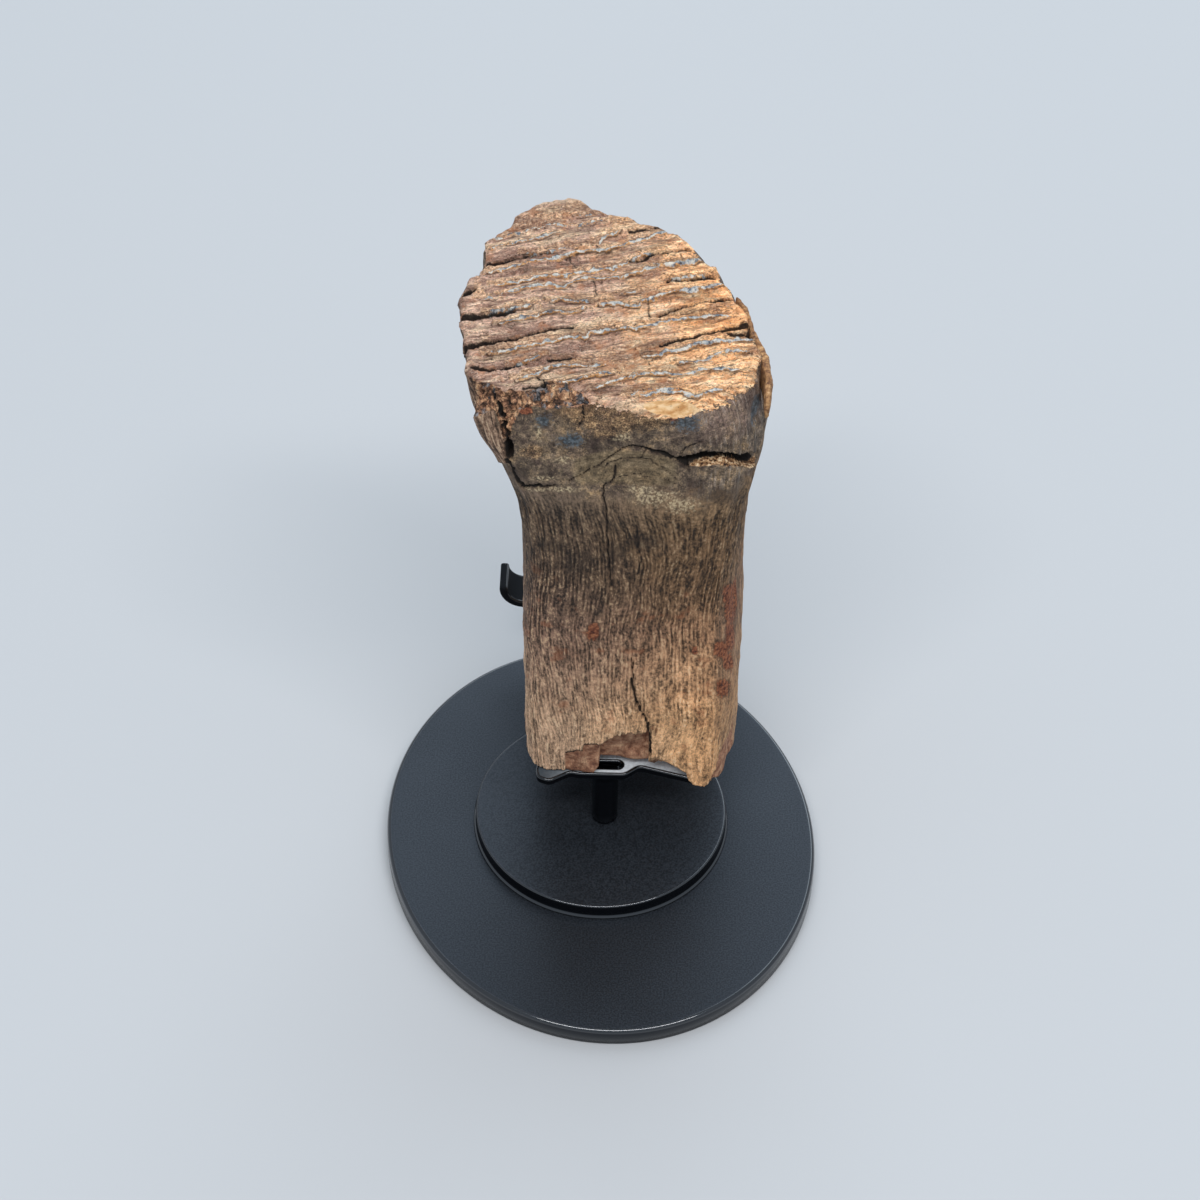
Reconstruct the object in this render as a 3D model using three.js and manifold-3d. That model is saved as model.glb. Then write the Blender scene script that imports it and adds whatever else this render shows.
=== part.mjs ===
// A fossil mammoth molar standing on its root end on a black metal display stand.
// Millimetres, +Z up. The origin is the middle of the oval base's underside.
// The tooth's end plate faces -Y, and its chewing surface is on top.
import * as THREE from 'three';
import { mergeVertices } from 'three/addons/utils/BufferGeometryUtils.js';
import Module from 'manifold-3d';

// Stand
const fitGap = 0.3; // between pieces that touch
const base = {
  halfWidth: 76, halfDepth: 89, turnDeg: 11, height: 7.2, topRound: 2.2, footChamfer: 0.6, sides: 88,
};
const riser = { radius: 44.6, height: 5.5, centreY: 4.6, topRound: 1.2, footChamfer: 0.3, sides: 72 };
const sheet = { thickness: 3, bottomZ: 40.2 };
const post = { radius: 4.6, x: 1.3, y: 1.5, sides: 28 };
const rearArm = {
  frontY: 76.8, width: 14, leftX: -39, rightX: 49.3, fingerTopZ: 50, bendRadius: 9, thickness: 2.8,
};

// Tooth
const footZ = sheet.bottomZ + sheet.thickness + fitGap; // the tooth rests on the sheet
const occlusal = { frontY: -8, frontZ: 215, slope: 0.17 }; // the worn surface climbs towards the back
const plate = { pitch: 9, turnDeg: 11, relief: 0.7 }; // enamel plates crossing the worn surface
const toothSteps = { across: 26, deep: 20, high: 26 };

const wasm = await Module();
wasm.setup();

function toSolid(geometry) {
  const bare = geometry.clone();
  bare.deleteAttribute('normal');
  bare.deleteAttribute('uv');
  const merged = mergeVertices(bare, 1e-4);
  const mesh = new wasm.Mesh({
    numProp: 3,
    vertProperties: new Float32Array(merged.attributes.position.array),
    triVerts: new Uint32Array(merged.index.array),
  });
  return new wasm.Manifold(mesh);
}

function toGeometry(solid) {
  const mesh = solid.getMesh();
  const geometry = new THREE.BufferGeometry();
  geometry.setAttribute('position', new THREE.BufferAttribute(mesh.vertProperties, 3));
  geometry.setIndex(new THREE.BufferAttribute(mesh.triVerts, 1));
  return geometry;
}

function namedMesh(name, geometry, color, roughness, metalness) {
  geometry.computeVertexNormals();
  const mesh = new THREE.Mesh(geometry, new THREE.MeshStandardMaterial({ color, roughness, metalness }));
  mesh.name = name;
  return mesh;
}

const satinBlack = [0x25282b, 0.45, 0.2];
const glossBlack = [0x0c0d0f, 0.2, 0.2];
const fossilBrown = [0x7a5d42, 0.75, 0];

// A disc turned from a half profile, with the rounded top edge made of short steps.
function discProfile(radius, height, topRound, footChamfer) {
  const profile = [new THREE.Vector2(0, 0), new THREE.Vector2(radius - footChamfer, 0)];
  profile.push(new THREE.Vector2(radius, footChamfer));
  const roundSteps = 3;
  for (let i = 0; i <= roundSteps; i += 1) {
    const angle = (i / roundSteps) * (Math.PI / 2);
    const r = radius - topRound * (1 - Math.cos(angle));
    profile.push(new THREE.Vector2(r, height - topRound * (1 - Math.sin(angle))));
  }
  profile.push(new THREE.Vector2(0, height));
  return profile;
}

function turned(profile, sides) {
  const geometry = new THREE.LatheGeometry(profile, sides);
  geometry.rotateX(Math.PI / 2); // the lathe turns about Y
  return geometry;
}

// The base is a disc pulled out to an oval, keeping its edge the same size all round.
function baseDisc() {
  const profile = discProfile(base.halfWidth, base.height, base.topRound, base.footChamfer);
  const geometry = turned(profile, base.sides);
  const position = geometry.attributes.position;
  for (let i = 0; i < position.count; i += 1) {
    const x = position.getX(i);
    const y = position.getY(i);
    const radius = Math.hypot(x, y);
    const inset = base.halfWidth - radius;
    const stretch = (base.halfDepth - inset) / (base.halfWidth - inset);
    position.setY(i, radius > 1 ? y * stretch : y);
  }
  geometry.rotateZ(THREE.MathUtils.degToRad(base.turnDeg));
  return toGeometry(toSolid(geometry));
}

function riserDisc() {
  const profile = discProfile(riser.radius, riser.height, riser.topRound, riser.footChamfer);
  const geometry = turned(profile, riser.sides);
  geometry.translate(0, riser.centreY, base.height + fitGap);
  return toGeometry(toSolid(geometry));
}

function postRod() {
  const bottomZ = base.height + riser.height + 2 * fitGap;
  const topZ = sheet.bottomZ - fitGap;
  const geometry = new THREE.CylinderGeometry(post.radius, post.radius, topZ - bottomZ, post.sides);
  geometry.rotateX(Math.PI / 2);
  geometry.translate(post.x, post.y, (topZ + bottomZ) / 2);
  return toGeometry(toSolid(geometry));
}

// The cradle is one sheet: a hub over the post, two flat front arms, and a spine
// that runs back to a cross arm whose ends are bent up as fingers.
const seatOutline = [
  [-8, -5.2], [8, -5.2], [13, -1.2], [33, -6.7], [37.5, -4.6], [39, 2], [14, 9], [9.5, 16],
  [9.5, rearArm.frontY + 2], [-5.5, rearArm.frontY + 2], [-5.5, 15], [-12, 6],
  [-22, 1], [-23.2, -3.4], [-22.5, -7.1], [-18.2, -8.8], [-11, -4.5],
];
const hubSlot = { centreX: 0, centreY: -0.6, halfLength: 7, halfWidth: 1.6 };

function seatPlate() {
  const shape = new THREE.Shape(seatOutline.map(([x, y]) => new THREE.Vector2(x, y)));
  const slot = new THREE.Path();
  const straight = hubSlot.halfLength - hubSlot.halfWidth;
  slot.absarc(hubSlot.centreX + straight, hubSlot.centreY, hubSlot.halfWidth, -Math.PI / 2, Math.PI / 2);
  slot.absarc(hubSlot.centreX - straight, hubSlot.centreY, hubSlot.halfWidth, Math.PI / 2, Math.PI * 1.5);
  shape.holes.push(slot);
  const geometry = new THREE.ExtrudeGeometry(shape, {
    depth: sheet.thickness, bevelEnabled: false, curveSegments: 6,
  });
  geometry.translate(0, 0, sheet.bottomZ);
  return toSolid(geometry);
}

// Front view of the cross arm, swept back along +Y.
function crossArm() {
  const outer = rearArm.bendRadius;
  const inner = outer - rearArm.thickness;
  const bendZ = sheet.bottomZ + outer;
  const left = rearArm.leftX + outer;
  const right = rearArm.rightX - outer;
  const shape = new THREE.Shape();
  shape.moveTo(left, sheet.bottomZ);
  shape.lineTo(right, sheet.bottomZ);
  shape.absarc(right, bendZ, outer, -Math.PI / 2, 0);
  shape.lineTo(right + outer, rearArm.fingerTopZ);
  shape.lineTo(right + inner, rearArm.fingerTopZ);
  shape.absarc(right, bendZ, inner, 0, -Math.PI / 2, true);
  shape.lineTo(left, bendZ - inner);
  shape.absarc(left, bendZ, inner, -Math.PI / 2, -Math.PI, true);
  shape.lineTo(left - inner, rearArm.fingerTopZ);
  shape.lineTo(left - outer, rearArm.fingerTopZ);
  shape.absarc(left, bendZ, outer, Math.PI, Math.PI * 1.5);
  const geometry = new THREE.ExtrudeGeometry(shape, {
    depth: rearArm.width, bevelEnabled: false, curveSegments: 6,
  });
  geometry.rotateX(Math.PI / 2);
  geometry.translate(0, rearArm.frontY + rearArm.width, 0);
  return toSolid(geometry);
}

// Ribs of the tooth, from the foot (height 0) to the worn rim (height 1). Each outline
// starts at the front left corner and runs round by the right: three points to a side.
const ribs = [
  { height: 0, outline: [[-23.8, -1.5], [-8, -5.5], [16, -6.8], [39, -9.5], [46.3, 8], [46.8, 44],
    [40, 76], [20, 84], [-4, 84.5], [-20, 77], [-26.8, 48], [-26.3, 12]] },
  { height: 0.2, outline: [[-25.3, -2.2], [-9, -6.5], [17, -8], [40, -8.3], [46.6, 9], [47, 45],
    [40, 75], [20, 83], [-4, 84], [-21, 76], [-27.8, 48], [-27.6, 12]] },
  { height: 0.45, outline: [[-25, -2], [-9, -8], [18, -9], [39, -5], [44.5, 13], [45.5, 45],
    [39, 73], [20, 81.5], [-4, 82.5], [-21, 74], [-28.5, 46], [-27.4, 14]] },
  { height: 0.7, outline: [[-26, -2], [-9, -9], [18, -10.5], [40, -4.5], [44.8, 14], [46, 43],
    [38, 71], [19, 80], [-6, 81.5], [-24, 73], [-31, 46], [-29.5, 14]] },
  { height: 0.83, outline: [[-31.5, -2], [-12, -8.5], [14, -10.5], [42.5, -6], [48, 12], [46.5, 41],
    [36, 68], [17, 78], [-8, 80.5], [-28, 72.5], [-38, 46], [-35.5, 14]] },
  { height: 0.885, outline: [[-36, -1], [-13, -6], [14, -7], [43, -3.5], [48.3, 12], [45, 39],
    [34, 65], [15, 77], [-9, 80], [-29, 72], [-41, 46], [-40, 14]] },
  { height: 1, outline: [[-42, 0.5], [-20, -1.5], [11, -6.8], [42.5, -1.5], [44.5, 12], [40, 37],
    [24.5, 60.5], [6, 72], [-14, 79.5], [-31.5, 72.5], [-44, 54], [-48, 28]] },
].map((rib) => ({
  height: rib.height,
  curve: new THREE.CatmullRomCurve3(rib.outline.map(([x, y]) => new THREE.Vector3(x, y, 0)), true),
}));

// Position on the side wall: round is 0..1 from the front left corner, height is 0..1.
function wallPoint(round, height) {
  const wrapped = round % 1;
  let i = 0;
  while (i < ribs.length - 2 && height > ribs[i + 1].height) i += 1;
  const share = (height - ribs[i].height) / (ribs[i + 1].height - ribs[i].height);
  return ribs[i].curve.getPoint(wrapped).lerp(ribs[i + 1].curve.getPoint(wrapped), share);
}

// Fills the space inside an outline from its four sides (a Coons patch).
function insidePoint(u, v, height) {
  const front = wallPoint(u / 4, height);
  const right = wallPoint(0.25 + v / 4, height);
  const back = wallPoint(0.75 - u / 4, height);
  const left = wallPoint(1 - v / 4, height);
  const point = front.multiplyScalar(1 - v).add(back.multiplyScalar(v));
  point.add(left.multiplyScalar(1 - u)).add(right.multiplyScalar(u));
  const corners = [[0, (1 - u) * (1 - v)], [0.25, u * (1 - v)], [0.5, u * v], [0.75, (1 - u) * v]];
  for (const [round, weight] of corners) point.addScaledVector(wallPoint(round, height), -weight);
  return point;
}

function occlusalZ(x, y, u) {
  const turn = THREE.MathUtils.degToRad(plate.turnDeg);
  const along = y * Math.cos(turn) - x * Math.sin(turn);
  const ripple = plate.relief * Math.cos((along / plate.pitch) * Math.PI * 2);
  const edge = 4 * u * (1 - u);
  return occlusal.frontZ + occlusal.slope * (y - occlusal.frontY) + ripple * edge;
}

function toothBody() {
  const { across, deep, high } = toothSteps;
  const geometry = new THREE.BoxGeometry(1, 1, 1, across, deep, high);
  const position = geometry.attributes.position;
  for (let i = 0; i < position.count; i += 1) {
    const u = position.getX(i) + 0.5;
    const v = position.getY(i) + 0.5;
    const height = position.getZ(i) + 0.5;
    const point = insidePoint(u, v, height);
    const topZ = occlusalZ(point.x, point.y, u);
    position.setXYZ(i, point.x, point.y, footZ + (topZ - footZ) * height);
  }
  return toSolid(geometry);
}

// A wedge with its mouth at the front, narrowing backwards, for cracks and chips.
function wedge(width, depth, mouth, throat) {
  const shape = new THREE.Shape([
    new THREE.Vector2(-1, -mouth / 2), new THREE.Vector2(depth, -throat / 2),
    new THREE.Vector2(depth, throat / 2), new THREE.Vector2(-1, mouth / 2),
  ]);
  const geometry = new THREE.ExtrudeGeometry(shape, { depth: width, bevelEnabled: false });
  geometry.rotateX(Math.PI / 2); // profile now lies in XZ, swept along -Y
  geometry.rotateZ(Math.PI / 2); // depth now runs along +Y, width along +X
  return geometry;
}

function placed(geometry, x, y, z, tiltYDeg = 0, turnZDeg = 0) {
  geometry.rotateY(THREE.MathUtils.degToRad(tiltYDeg));
  geometry.rotateZ(THREE.MathUtils.degToRad(turnZDeg));
  geometry.translate(x, y, z);
  return toSolid(geometry);
}

// The open crack under the crown's right side, the slit behind the left facet,
// the chipped arch in the foot of the end plate and the chamfer beside the spike.
function damage() {
  const neckCrack = placed(wedge(38, 12, 3.2, 0.8), 13, -13, 194.5, 2);
  const leftSlit = placed(new THREE.BoxGeometry(2.2, 9, 30), -33, 0, 199, -12);
  const arch = placed(new THREE.BoxGeometry(19, 10, 16), 7.5, -5.4, 50, 0);
  const archSlope = placed(new THREE.BoxGeometry(16, 18, 8), 23, -6, 45.4, 24);
  const sideChip = placed(new THREE.BoxGeometry(10, 30, 10), 47, -4, 45, -55);
  return [neckCrack, leftSlit, arch, archSlope, sideChip];
}

// A slab of the outer cement that has come away from the right of the crown.
function flake() {
  const shape = new THREE.Shape([
    new THREE.Vector2(46.6, 3), new THREE.Vector2(49.6, 1.5), new THREE.Vector2(50.4, 12),
    new THREE.Vector2(46.5, 32), new THREE.Vector2(41, 42), new THREE.Vector2(38.5, 36),
    new THREE.Vector2(44.5, 24), new THREE.Vector2(47, 12),
  ]);
  const geometry = new THREE.ExtrudeGeometry(shape, { depth: 14, bevelEnabled: false });
  geometry.translate(0, 0, 206);
  return toSolid(geometry);
}

function tooth() {
  let solid = toothBody();
  for (const cut of damage()) solid = solid.subtract(cut);
  return toGeometry(solid.add(flake()));
}

const molarOnStand = new THREE.Group();
molarOnStand.add(namedMesh('base_disc', baseDisc(), ...satinBlack));
molarOnStand.add(namedMesh('riser_disc', riserDisc(), ...satinBlack));
molarOnStand.add(namedMesh('post', postRod(), ...glossBlack));
molarOnStand.add(namedMesh('cradle_plate', toGeometry(seatPlate().add(crossArm())), ...glossBlack));
molarOnStand.add(namedMesh('tooth', tooth(), ...fossilBrown));

export default molarOnStand;
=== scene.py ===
import math
from itertools import product

import bpy
import numpy as np
from mathutils import Matrix, Vector
from mathutils.geometry import delaunay_2d_cdt


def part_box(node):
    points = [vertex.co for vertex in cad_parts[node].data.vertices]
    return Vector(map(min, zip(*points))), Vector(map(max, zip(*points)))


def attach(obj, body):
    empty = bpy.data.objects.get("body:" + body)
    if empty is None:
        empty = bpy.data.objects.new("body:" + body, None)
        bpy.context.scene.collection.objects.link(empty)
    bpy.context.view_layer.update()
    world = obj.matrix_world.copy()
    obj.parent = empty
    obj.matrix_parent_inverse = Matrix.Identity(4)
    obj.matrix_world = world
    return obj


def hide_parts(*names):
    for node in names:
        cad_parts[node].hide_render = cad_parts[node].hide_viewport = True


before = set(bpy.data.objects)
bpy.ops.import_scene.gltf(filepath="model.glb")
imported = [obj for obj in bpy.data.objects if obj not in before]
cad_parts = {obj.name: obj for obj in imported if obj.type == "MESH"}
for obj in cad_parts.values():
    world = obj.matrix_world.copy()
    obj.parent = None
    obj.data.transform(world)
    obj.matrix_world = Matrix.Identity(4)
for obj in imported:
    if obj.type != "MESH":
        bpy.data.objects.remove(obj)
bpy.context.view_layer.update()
mm = 0.001
scene = bpy.context.scene
print("frame loaded:", ", ".join(sorted(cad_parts)))


# one output socket of a node; arithmetic on it adds Math nodes
class Wire:
    def __init__(self, bench, socket):
        self.bench = bench
        self.socket = socket

    def __add__(self, other):
        return self.bench.run("ADD", self, other)

    def __sub__(self, other):
        return self.bench.run("SUBTRACT", self, other)

    def __rsub__(self, other):
        return self.bench.run("SUBTRACT", other, self)

    def __mul__(self, other):
        return self.bench.run("MULTIPLY", self, other)

    def __truediv__(self, other):
        return self.bench.run("DIVIDE", self, other)

    def __rtruediv__(self, other):
        return self.bench.run("DIVIDE", other, self)

    __radd__ = __add__
    __rmul__ = __mul__


# lays out nodes in one tree, for a material or for geometry
class Bench:
    def __init__(self, tree):
        self.tree = tree
        tree.nodes.clear()

    def node(self, kind, settings=None, values=(), out=0):
        made = self.tree.nodes.new(kind)
        for name, value in (settings or {}).items():
            if name == "stops":
                self.setStops(made.color_ramp, value)
            else:
                setattr(made, name, value)
        pairs = values.items() if isinstance(values, dict) else enumerate(values)
        for key, value in pairs:
            if isinstance(value, Wire):
                self.tree.links.new(value.socket, made.inputs[key])
            else:
                made.inputs[key].default_value = value
        return Wire(self, made.outputs[out]) if len(made.outputs) else None

    def run(self, operation, *values):
        return self.node("ShaderNodeMath", {"operation": operation}, values)

    def setStops(self, ramp, stops):
        while len(ramp.elements) < len(stops):
            ramp.elements.new(1)
        for element, (place, colour) in zip(ramp.elements, stops):
            element.position = place
            element.color = colour

    def ramp(self, value, stops):
        return self.node("ShaderNodeValToRGB", {"stops": [(p, paint(c)) for p, c in stops]}, [value])

    def fade(self, value, low, high, start=0.0, end=1.0):  # smooth step from start to end
        return self.node("ShaderNodeMapRange", {"interpolation_type": "SMOOTHSTEP"},
                         [value, low, high, start, end])

    def mix(self, factor, first, second, kind="MIX"):
        first, second = [paint(c) if isinstance(c, str) else c for c in (first, second)]
        return self.node("ShaderNodeMix", {"data_type": "RGBA", "blend_type": kind},
                         {0: factor, 6: first, 7: second}, 2)

    def blend(self, factor, first, second):  # between two numbers
        return self.node("ShaderNodeMix", {"data_type": "FLOAT"}, {0: factor, 2: first, 3: second})

    def scaled(self, vector, x, y, z):
        return self.node("ShaderNodeVectorMath", {"operation": "MULTIPLY"}, [vector, (x, y, z)])

    def shifted(self, vector, other):
        return self.node("ShaderNodeVectorMath", {"operation": "ADD"}, [vector, other])

    def noise(self, vector, scale, detail=3.0, rough=0.55, bend=0.0, out=0):
        return self.node("ShaderNodeTexNoise", {}, {"Vector": vector, "Scale": scale, "Detail": detail,
                                                    "Roughness": rough, "Distortion": bend}, out)

    def streaks(self, vector, stretch, detail=3.0, rough=0.55):  # noise drawn out along an axis
        return self.noise(self.scaled(vector, *stretch), 1.0, detail, rough)

    def contour(self, noise, width, level=0.5):  # a thin line where the noise crosses a level
        return self.fade(self.run("ABSOLUTE", noise - level), width, 0.001)

    def cells(self, vector, scale):  # how far each place is from the edge of its cell
        settings = {"feature": "DISTANCE_TO_EDGE"}
        return self.node("ShaderNodeTexVoronoi", settings, {"Vector": vector, "Scale": scale})

    def attribute(self, name, out=2):  # shader side: 0 colour, 1 vector, 2 number
        return self.node("ShaderNodeAttribute", {"attribute_name": name}, (), out)

    def stored(self, name, kind="FLOAT"):  # geometry side
        return self.node("GeometryNodeInputNamedAttribute", {"data_type": kind}, {"Name": name})

    def joined(self, x, y, z):
        return self.node("ShaderNodeCombineXYZ", {}, [x, y, z])

    def times(self, vector, amount):  # a colour or vector times a number
        return self.node("ShaderNodeVectorMath", {"operation": "SCALE"}, {0: vector, 3: amount})

    def parts(self, vector):
        split = self.node("ShaderNodeSeparateXYZ", {}, [vector])
        outputs = split.socket.node.outputs
        return [Wire(self, outputs[i]) for i in range(3)]


def paint(code):  # "#rrggbb" to the linear colour that sockets take
    channels = [int(code[i:i + 2], 16) / 255 for i in (1, 3, 5)]
    linear = [c / 12.92 if c <= 0.04045 else ((c + 0.055) / 1.055) ** 2.4 for c in channels]
    return (*linear, 1.0)


def newMaterial(name):
    material = bpy.data.materials.new(name)
    material.use_nodes = True
    return material, Bench(material.node_tree)


def swing(noise, amount):  # a noise as a move either way, by up to half the amount
    return (noise - 0.5) * amount


def finishShader(bench, sockets):
    shader = bench.node("ShaderNodeBsdfPrincipled", {}, sockets)
    bench.node("ShaderNodeOutputMaterial", {}, {"Surface": shader})


def bump(bench, height, strength, distance):
    return bench.node("ShaderNodeBump", {}, {"Strength": strength, "Distance": distance, "Height": height})


def objectMm(bench):  # the piece's own coordinates, in millimetres
    at = bench.node("ShaderNodeTexCoord", {}, (), 3)
    return bench.scaled(at, 1 / mm, 1 / mm, 1 / mm)


def boxMm(node):  # two corners of a node's box, in millimetres
    return [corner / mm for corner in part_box(node)]


def newPiece(name, pointsMm, faces, material):
    mesh = bpy.data.meshes.new(name)
    mesh.from_pydata((np.asarray(pointsMm) * mm).tolist(), [], faces)
    mesh.validate()
    mesh.polygons.foreach_set("use_smooth", [True] * len(mesh.polygons))
    mesh.materials.append(material)
    mesh.update()
    piece = bpy.data.objects.new(name, mesh)
    scene.collection.objects.link(piece)
    return piece


def store(piece, name, values, kind="FLOAT", key="value"):  # one attribute, a value for each point
    made = piece.data.attributes.new(name, kind, "POINT")
    made.data.foreach_set(key, np.concatenate(values).astype(np.float32).ravel())


def gridFaces(rows, columns, start=0):  # quads between rings of points, each ring closed
    row, column = np.meshgrid(np.arange(rows - 1), np.arange(columns), indexing="ij")
    beside = (column + 1) % columns
    faces = np.stack([row * columns + column, row * columns + beside,
                      (row + 1) * columns + beside, (row + 1) * columns + column], -1)
    return (faces.reshape(-1, 4) + start).tolist()


def turnedPoints(profile, sides, cx=0.0, cy=0.0):  # rings of a turned piece, bottom to top
    angle = np.linspace(0, 2 * math.pi, sides, endpoint=False)
    profile = np.array(profile, float)
    x = cx + profile[:, :1] * np.cos(angle)
    y = cy + profile[:, :1] * np.sin(angle)
    z = np.repeat(profile[:, 1:2], sides, 1)
    return np.stack([x, y, z], -1)


def closeTurned(rings):  # rings to a closed shell, with a pole at each end
    rows, sides = rings.shape[:2]
    points = list(rings.reshape(-1, 3)) + [rings[0].mean(0), rings[-1].mean(0)]
    faces = gridFaces(rows, sides)
    last = (rows - 1) * sides
    for i in range(sides):
        j = (i + 1) % sides
        faces.append([rows * sides, j, i])
        faces.append([rows * sides + 1, last + i, last + j])
    return points, faces


def arcPoints(cx, cz, radius, startDeg, endDeg, steps):  # places along a circle
    turn = [math.radians(startDeg + (endDeg - startDeg) * i / steps) for i in range(steps + 1)]
    return [(cx + radius * math.cos(a), cz + radius * math.sin(a)) for a in turn]


def smoothStep(value, low, high):  # 0 up to low, 1 from high on
    t = np.clip((value - low) / (high - low), 0, 1)
    return t * t * (3 - 2 * t)


def lumps(points, size, seed):  # soft random field from -1 to 1, lumps of about that size in mm
    q = np.asarray(points, float) / size
    cell = np.floor(q).astype(np.int64)
    f = q - cell
    f = f * f * (3 - 2 * f)
    total = np.zeros(len(q))
    for corner in product((0, 1), repeat=q.shape[1]):
        key = np.full(len(q), seed * 7919 + 13, np.uint64)
        weight = np.ones(len(q))
        for axis, step in enumerate(corner):
            key = (key ^ (cell[:, axis] + step).astype(np.uint64)) * np.uint64(0x9E3779B97F4A7C15)
            key = key ^ (key >> np.uint64(29))
            weight = weight * (f[:, axis] if step else 1 - f[:, axis])
        total += weight * ((key >> np.uint64(40)).astype(float) / 2 ** 24 * 2 - 1)
    return total


def nearPath(points, path):  # distance to a path, and how far along it the nearest place is, 0 to 1
    path = np.array(path, float)
    lengths = np.linalg.norm(np.diff(path, axis=0), axis=1)
    before = np.concatenate([[0], np.cumsum(lengths)])
    best, along = np.full(len(points), 1e9), np.zeros(len(points))
    for i, length in enumerate(lengths):
        step = path[i + 1] - path[i]
        t = np.clip((points - path[i]) @ step / length ** 2, 0, 1)
        distance = np.linalg.norm(points - path[i] - t[:, None] * step, axis=1)
        closer = distance < best
        best = np.where(closer, distance, best)
        along = np.where(closer, (before[i] + t * length) / before[-1], along)
    return best, along


def insideOf(points, outline):  # even-odd test
    outline = np.array(outline, float)
    inside = np.zeros(len(points), bool)
    for (x1, y1), (x2, y2) in zip(outline, np.roll(outline, -1, 0)):
        if y1 == y2:
            continue
        crosses = (points[:, 1] > y1) != (points[:, 1] > y2)
        inside ^= crosses & (points[:, 0] < x1 + (points[:, 1] - y1) / (y2 - y1) * (x2 - x1))
    return inside


# triangles that fill a ring, using the inner points too; the ring's own points come first
def fillOutline(rim, inner, holes=()):
    rings = [np.asarray(rim)] + [np.asarray(h) for h in holes]
    points = np.concatenate(rings + [np.asarray(inner).reshape(-1, 2)])
    edges, start = [], 0
    for ring in rings:
        edges += [(start + i, start + (i + 1) % len(ring)) for i in range(len(ring))]
        start += len(ring)
    made = delaunay_2d_cdt([Vector(p) for p in points.tolist()], edges, [], 0, 1e-6)
    places = np.array([tuple(v) for v in made[0]])
    corners = np.array([tuple(f) for f in made[2] if len(f) == 3])
    middle = places[corners].mean(1)
    keep = insideOf(middle, rings[0])
    for hole in rings[1:]:
        keep &= ~insideOf(middle, hole)
    corners = corners[keep]
    a, b, c = [places[corners[:, i]] for i in range(3)]
    turn = (b[:, 0] - a[:, 0]) * (c[:, 1] - a[:, 1]) - (b[:, 1] - a[:, 1]) * (c[:, 0] - a[:, 0])
    corners[turn < 0] = corners[turn < 0][:, ::-1]
    source = np.array([o[0] for o in made[3]])  # which given point each place is
    return source[corners]


# the tooth: sizes and the density of its mesh, in millimetres
tooth = {
    "footZ": boxMm("tooth")[0].z,
    "occlusalFront": (-8.0, 215.0),  # y and z where the worn face starts
    "occlusalSlope": 0.17,
    "frontColumns": 248, "sideColumns": 55, "backColumns": 44,
    # up to this z, millimetres between the rows of points
    "rowSteps": [(72, 0.76), (178, 2.1), (194, 0.66), (203, 0.44), (999, 0.66)],
    "topPitch": (0.52, 0.42), "underPitch": 1.7,
    "ribSpacing": 1.32, "plateSpacing": 9.2,
    "rimCentre": (0.0, 36.0),
    "ringCentre": (5.5, 168.0),  # x and height round which the growth rings of the neck run
    "ovalCentre": (18.4, -3.7), "ovalHalf": (8.9, 2.9),  # the pale oval at the front of the worn face
    "humpCentre": (-15, 75), "humpHalf": (9, 4.5), "humpHeight": 1.6,
    "seed": 11,
}

# outlines of the tooth from the foot (0) to the worn rim (1), three points to a side
toothRibs = {
    0.0: [(-23.8, -1.5), (-8, -5.5), (16, -6.8), (38.6, -9.5), (45.1, 8), (46.2, 44),
          (40, 76), (20, 84), (-4, 84.5), (-20, 77), (-26.8, 48), (-26.3, 12)],
    0.2: [(-25.3, -2.2), (-9, -6.5), (17, -8), (40, -8.3), (46, 9), (46.6, 45),
          (40, 75), (20, 83), (-4, 84), (-21, 76), (-27.8, 48), (-27.6, 12)],
    0.45: [(-25, -2), (-9, -8), (18, -9), (39, -5), (44.5, 13), (45.5, 45),
           (39, 73), (20, 81.5), (-4, 82.5), (-21, 74), (-28.5, 46), (-27.4, 14)],
    0.7: [(-26, -2), (-9, -9), (18, -10.5), (40, -4.5), (44.8, 14), (46, 43),
          (38, 71), (19, 80), (-6, 81.5), (-24, 73), (-31, 46), (-29.5, 14)],
    0.83: [(-33, -2), (-12, -8.5), (14, -10.5), (42.5, -6), (48, 12), (46.5, 41),
           (36, 68), (17, 78), (-8, 80.5), (-28, 72.5), (-38.6, 46), (-37, 14)],
    0.885: [(-37.4, -1), (-13, -6), (14, -7), (43, -3.5), (48.3, 12), (45, 39),
            (34, 65), (15, 77), (-9, 80), (-29, 72), (-42, 46), (-41.4, 14)],
    1.0: [(-42, 0.5), (-20, -1.5), (11, -6.8), (42.5, -1.5), (44.5, 12), (40, 37),
          (24.5, 60.5), (6, 72), (-14, 79.5), (-31.5, 72.5), (-44, 54), (-48, 28)],
}

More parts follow.
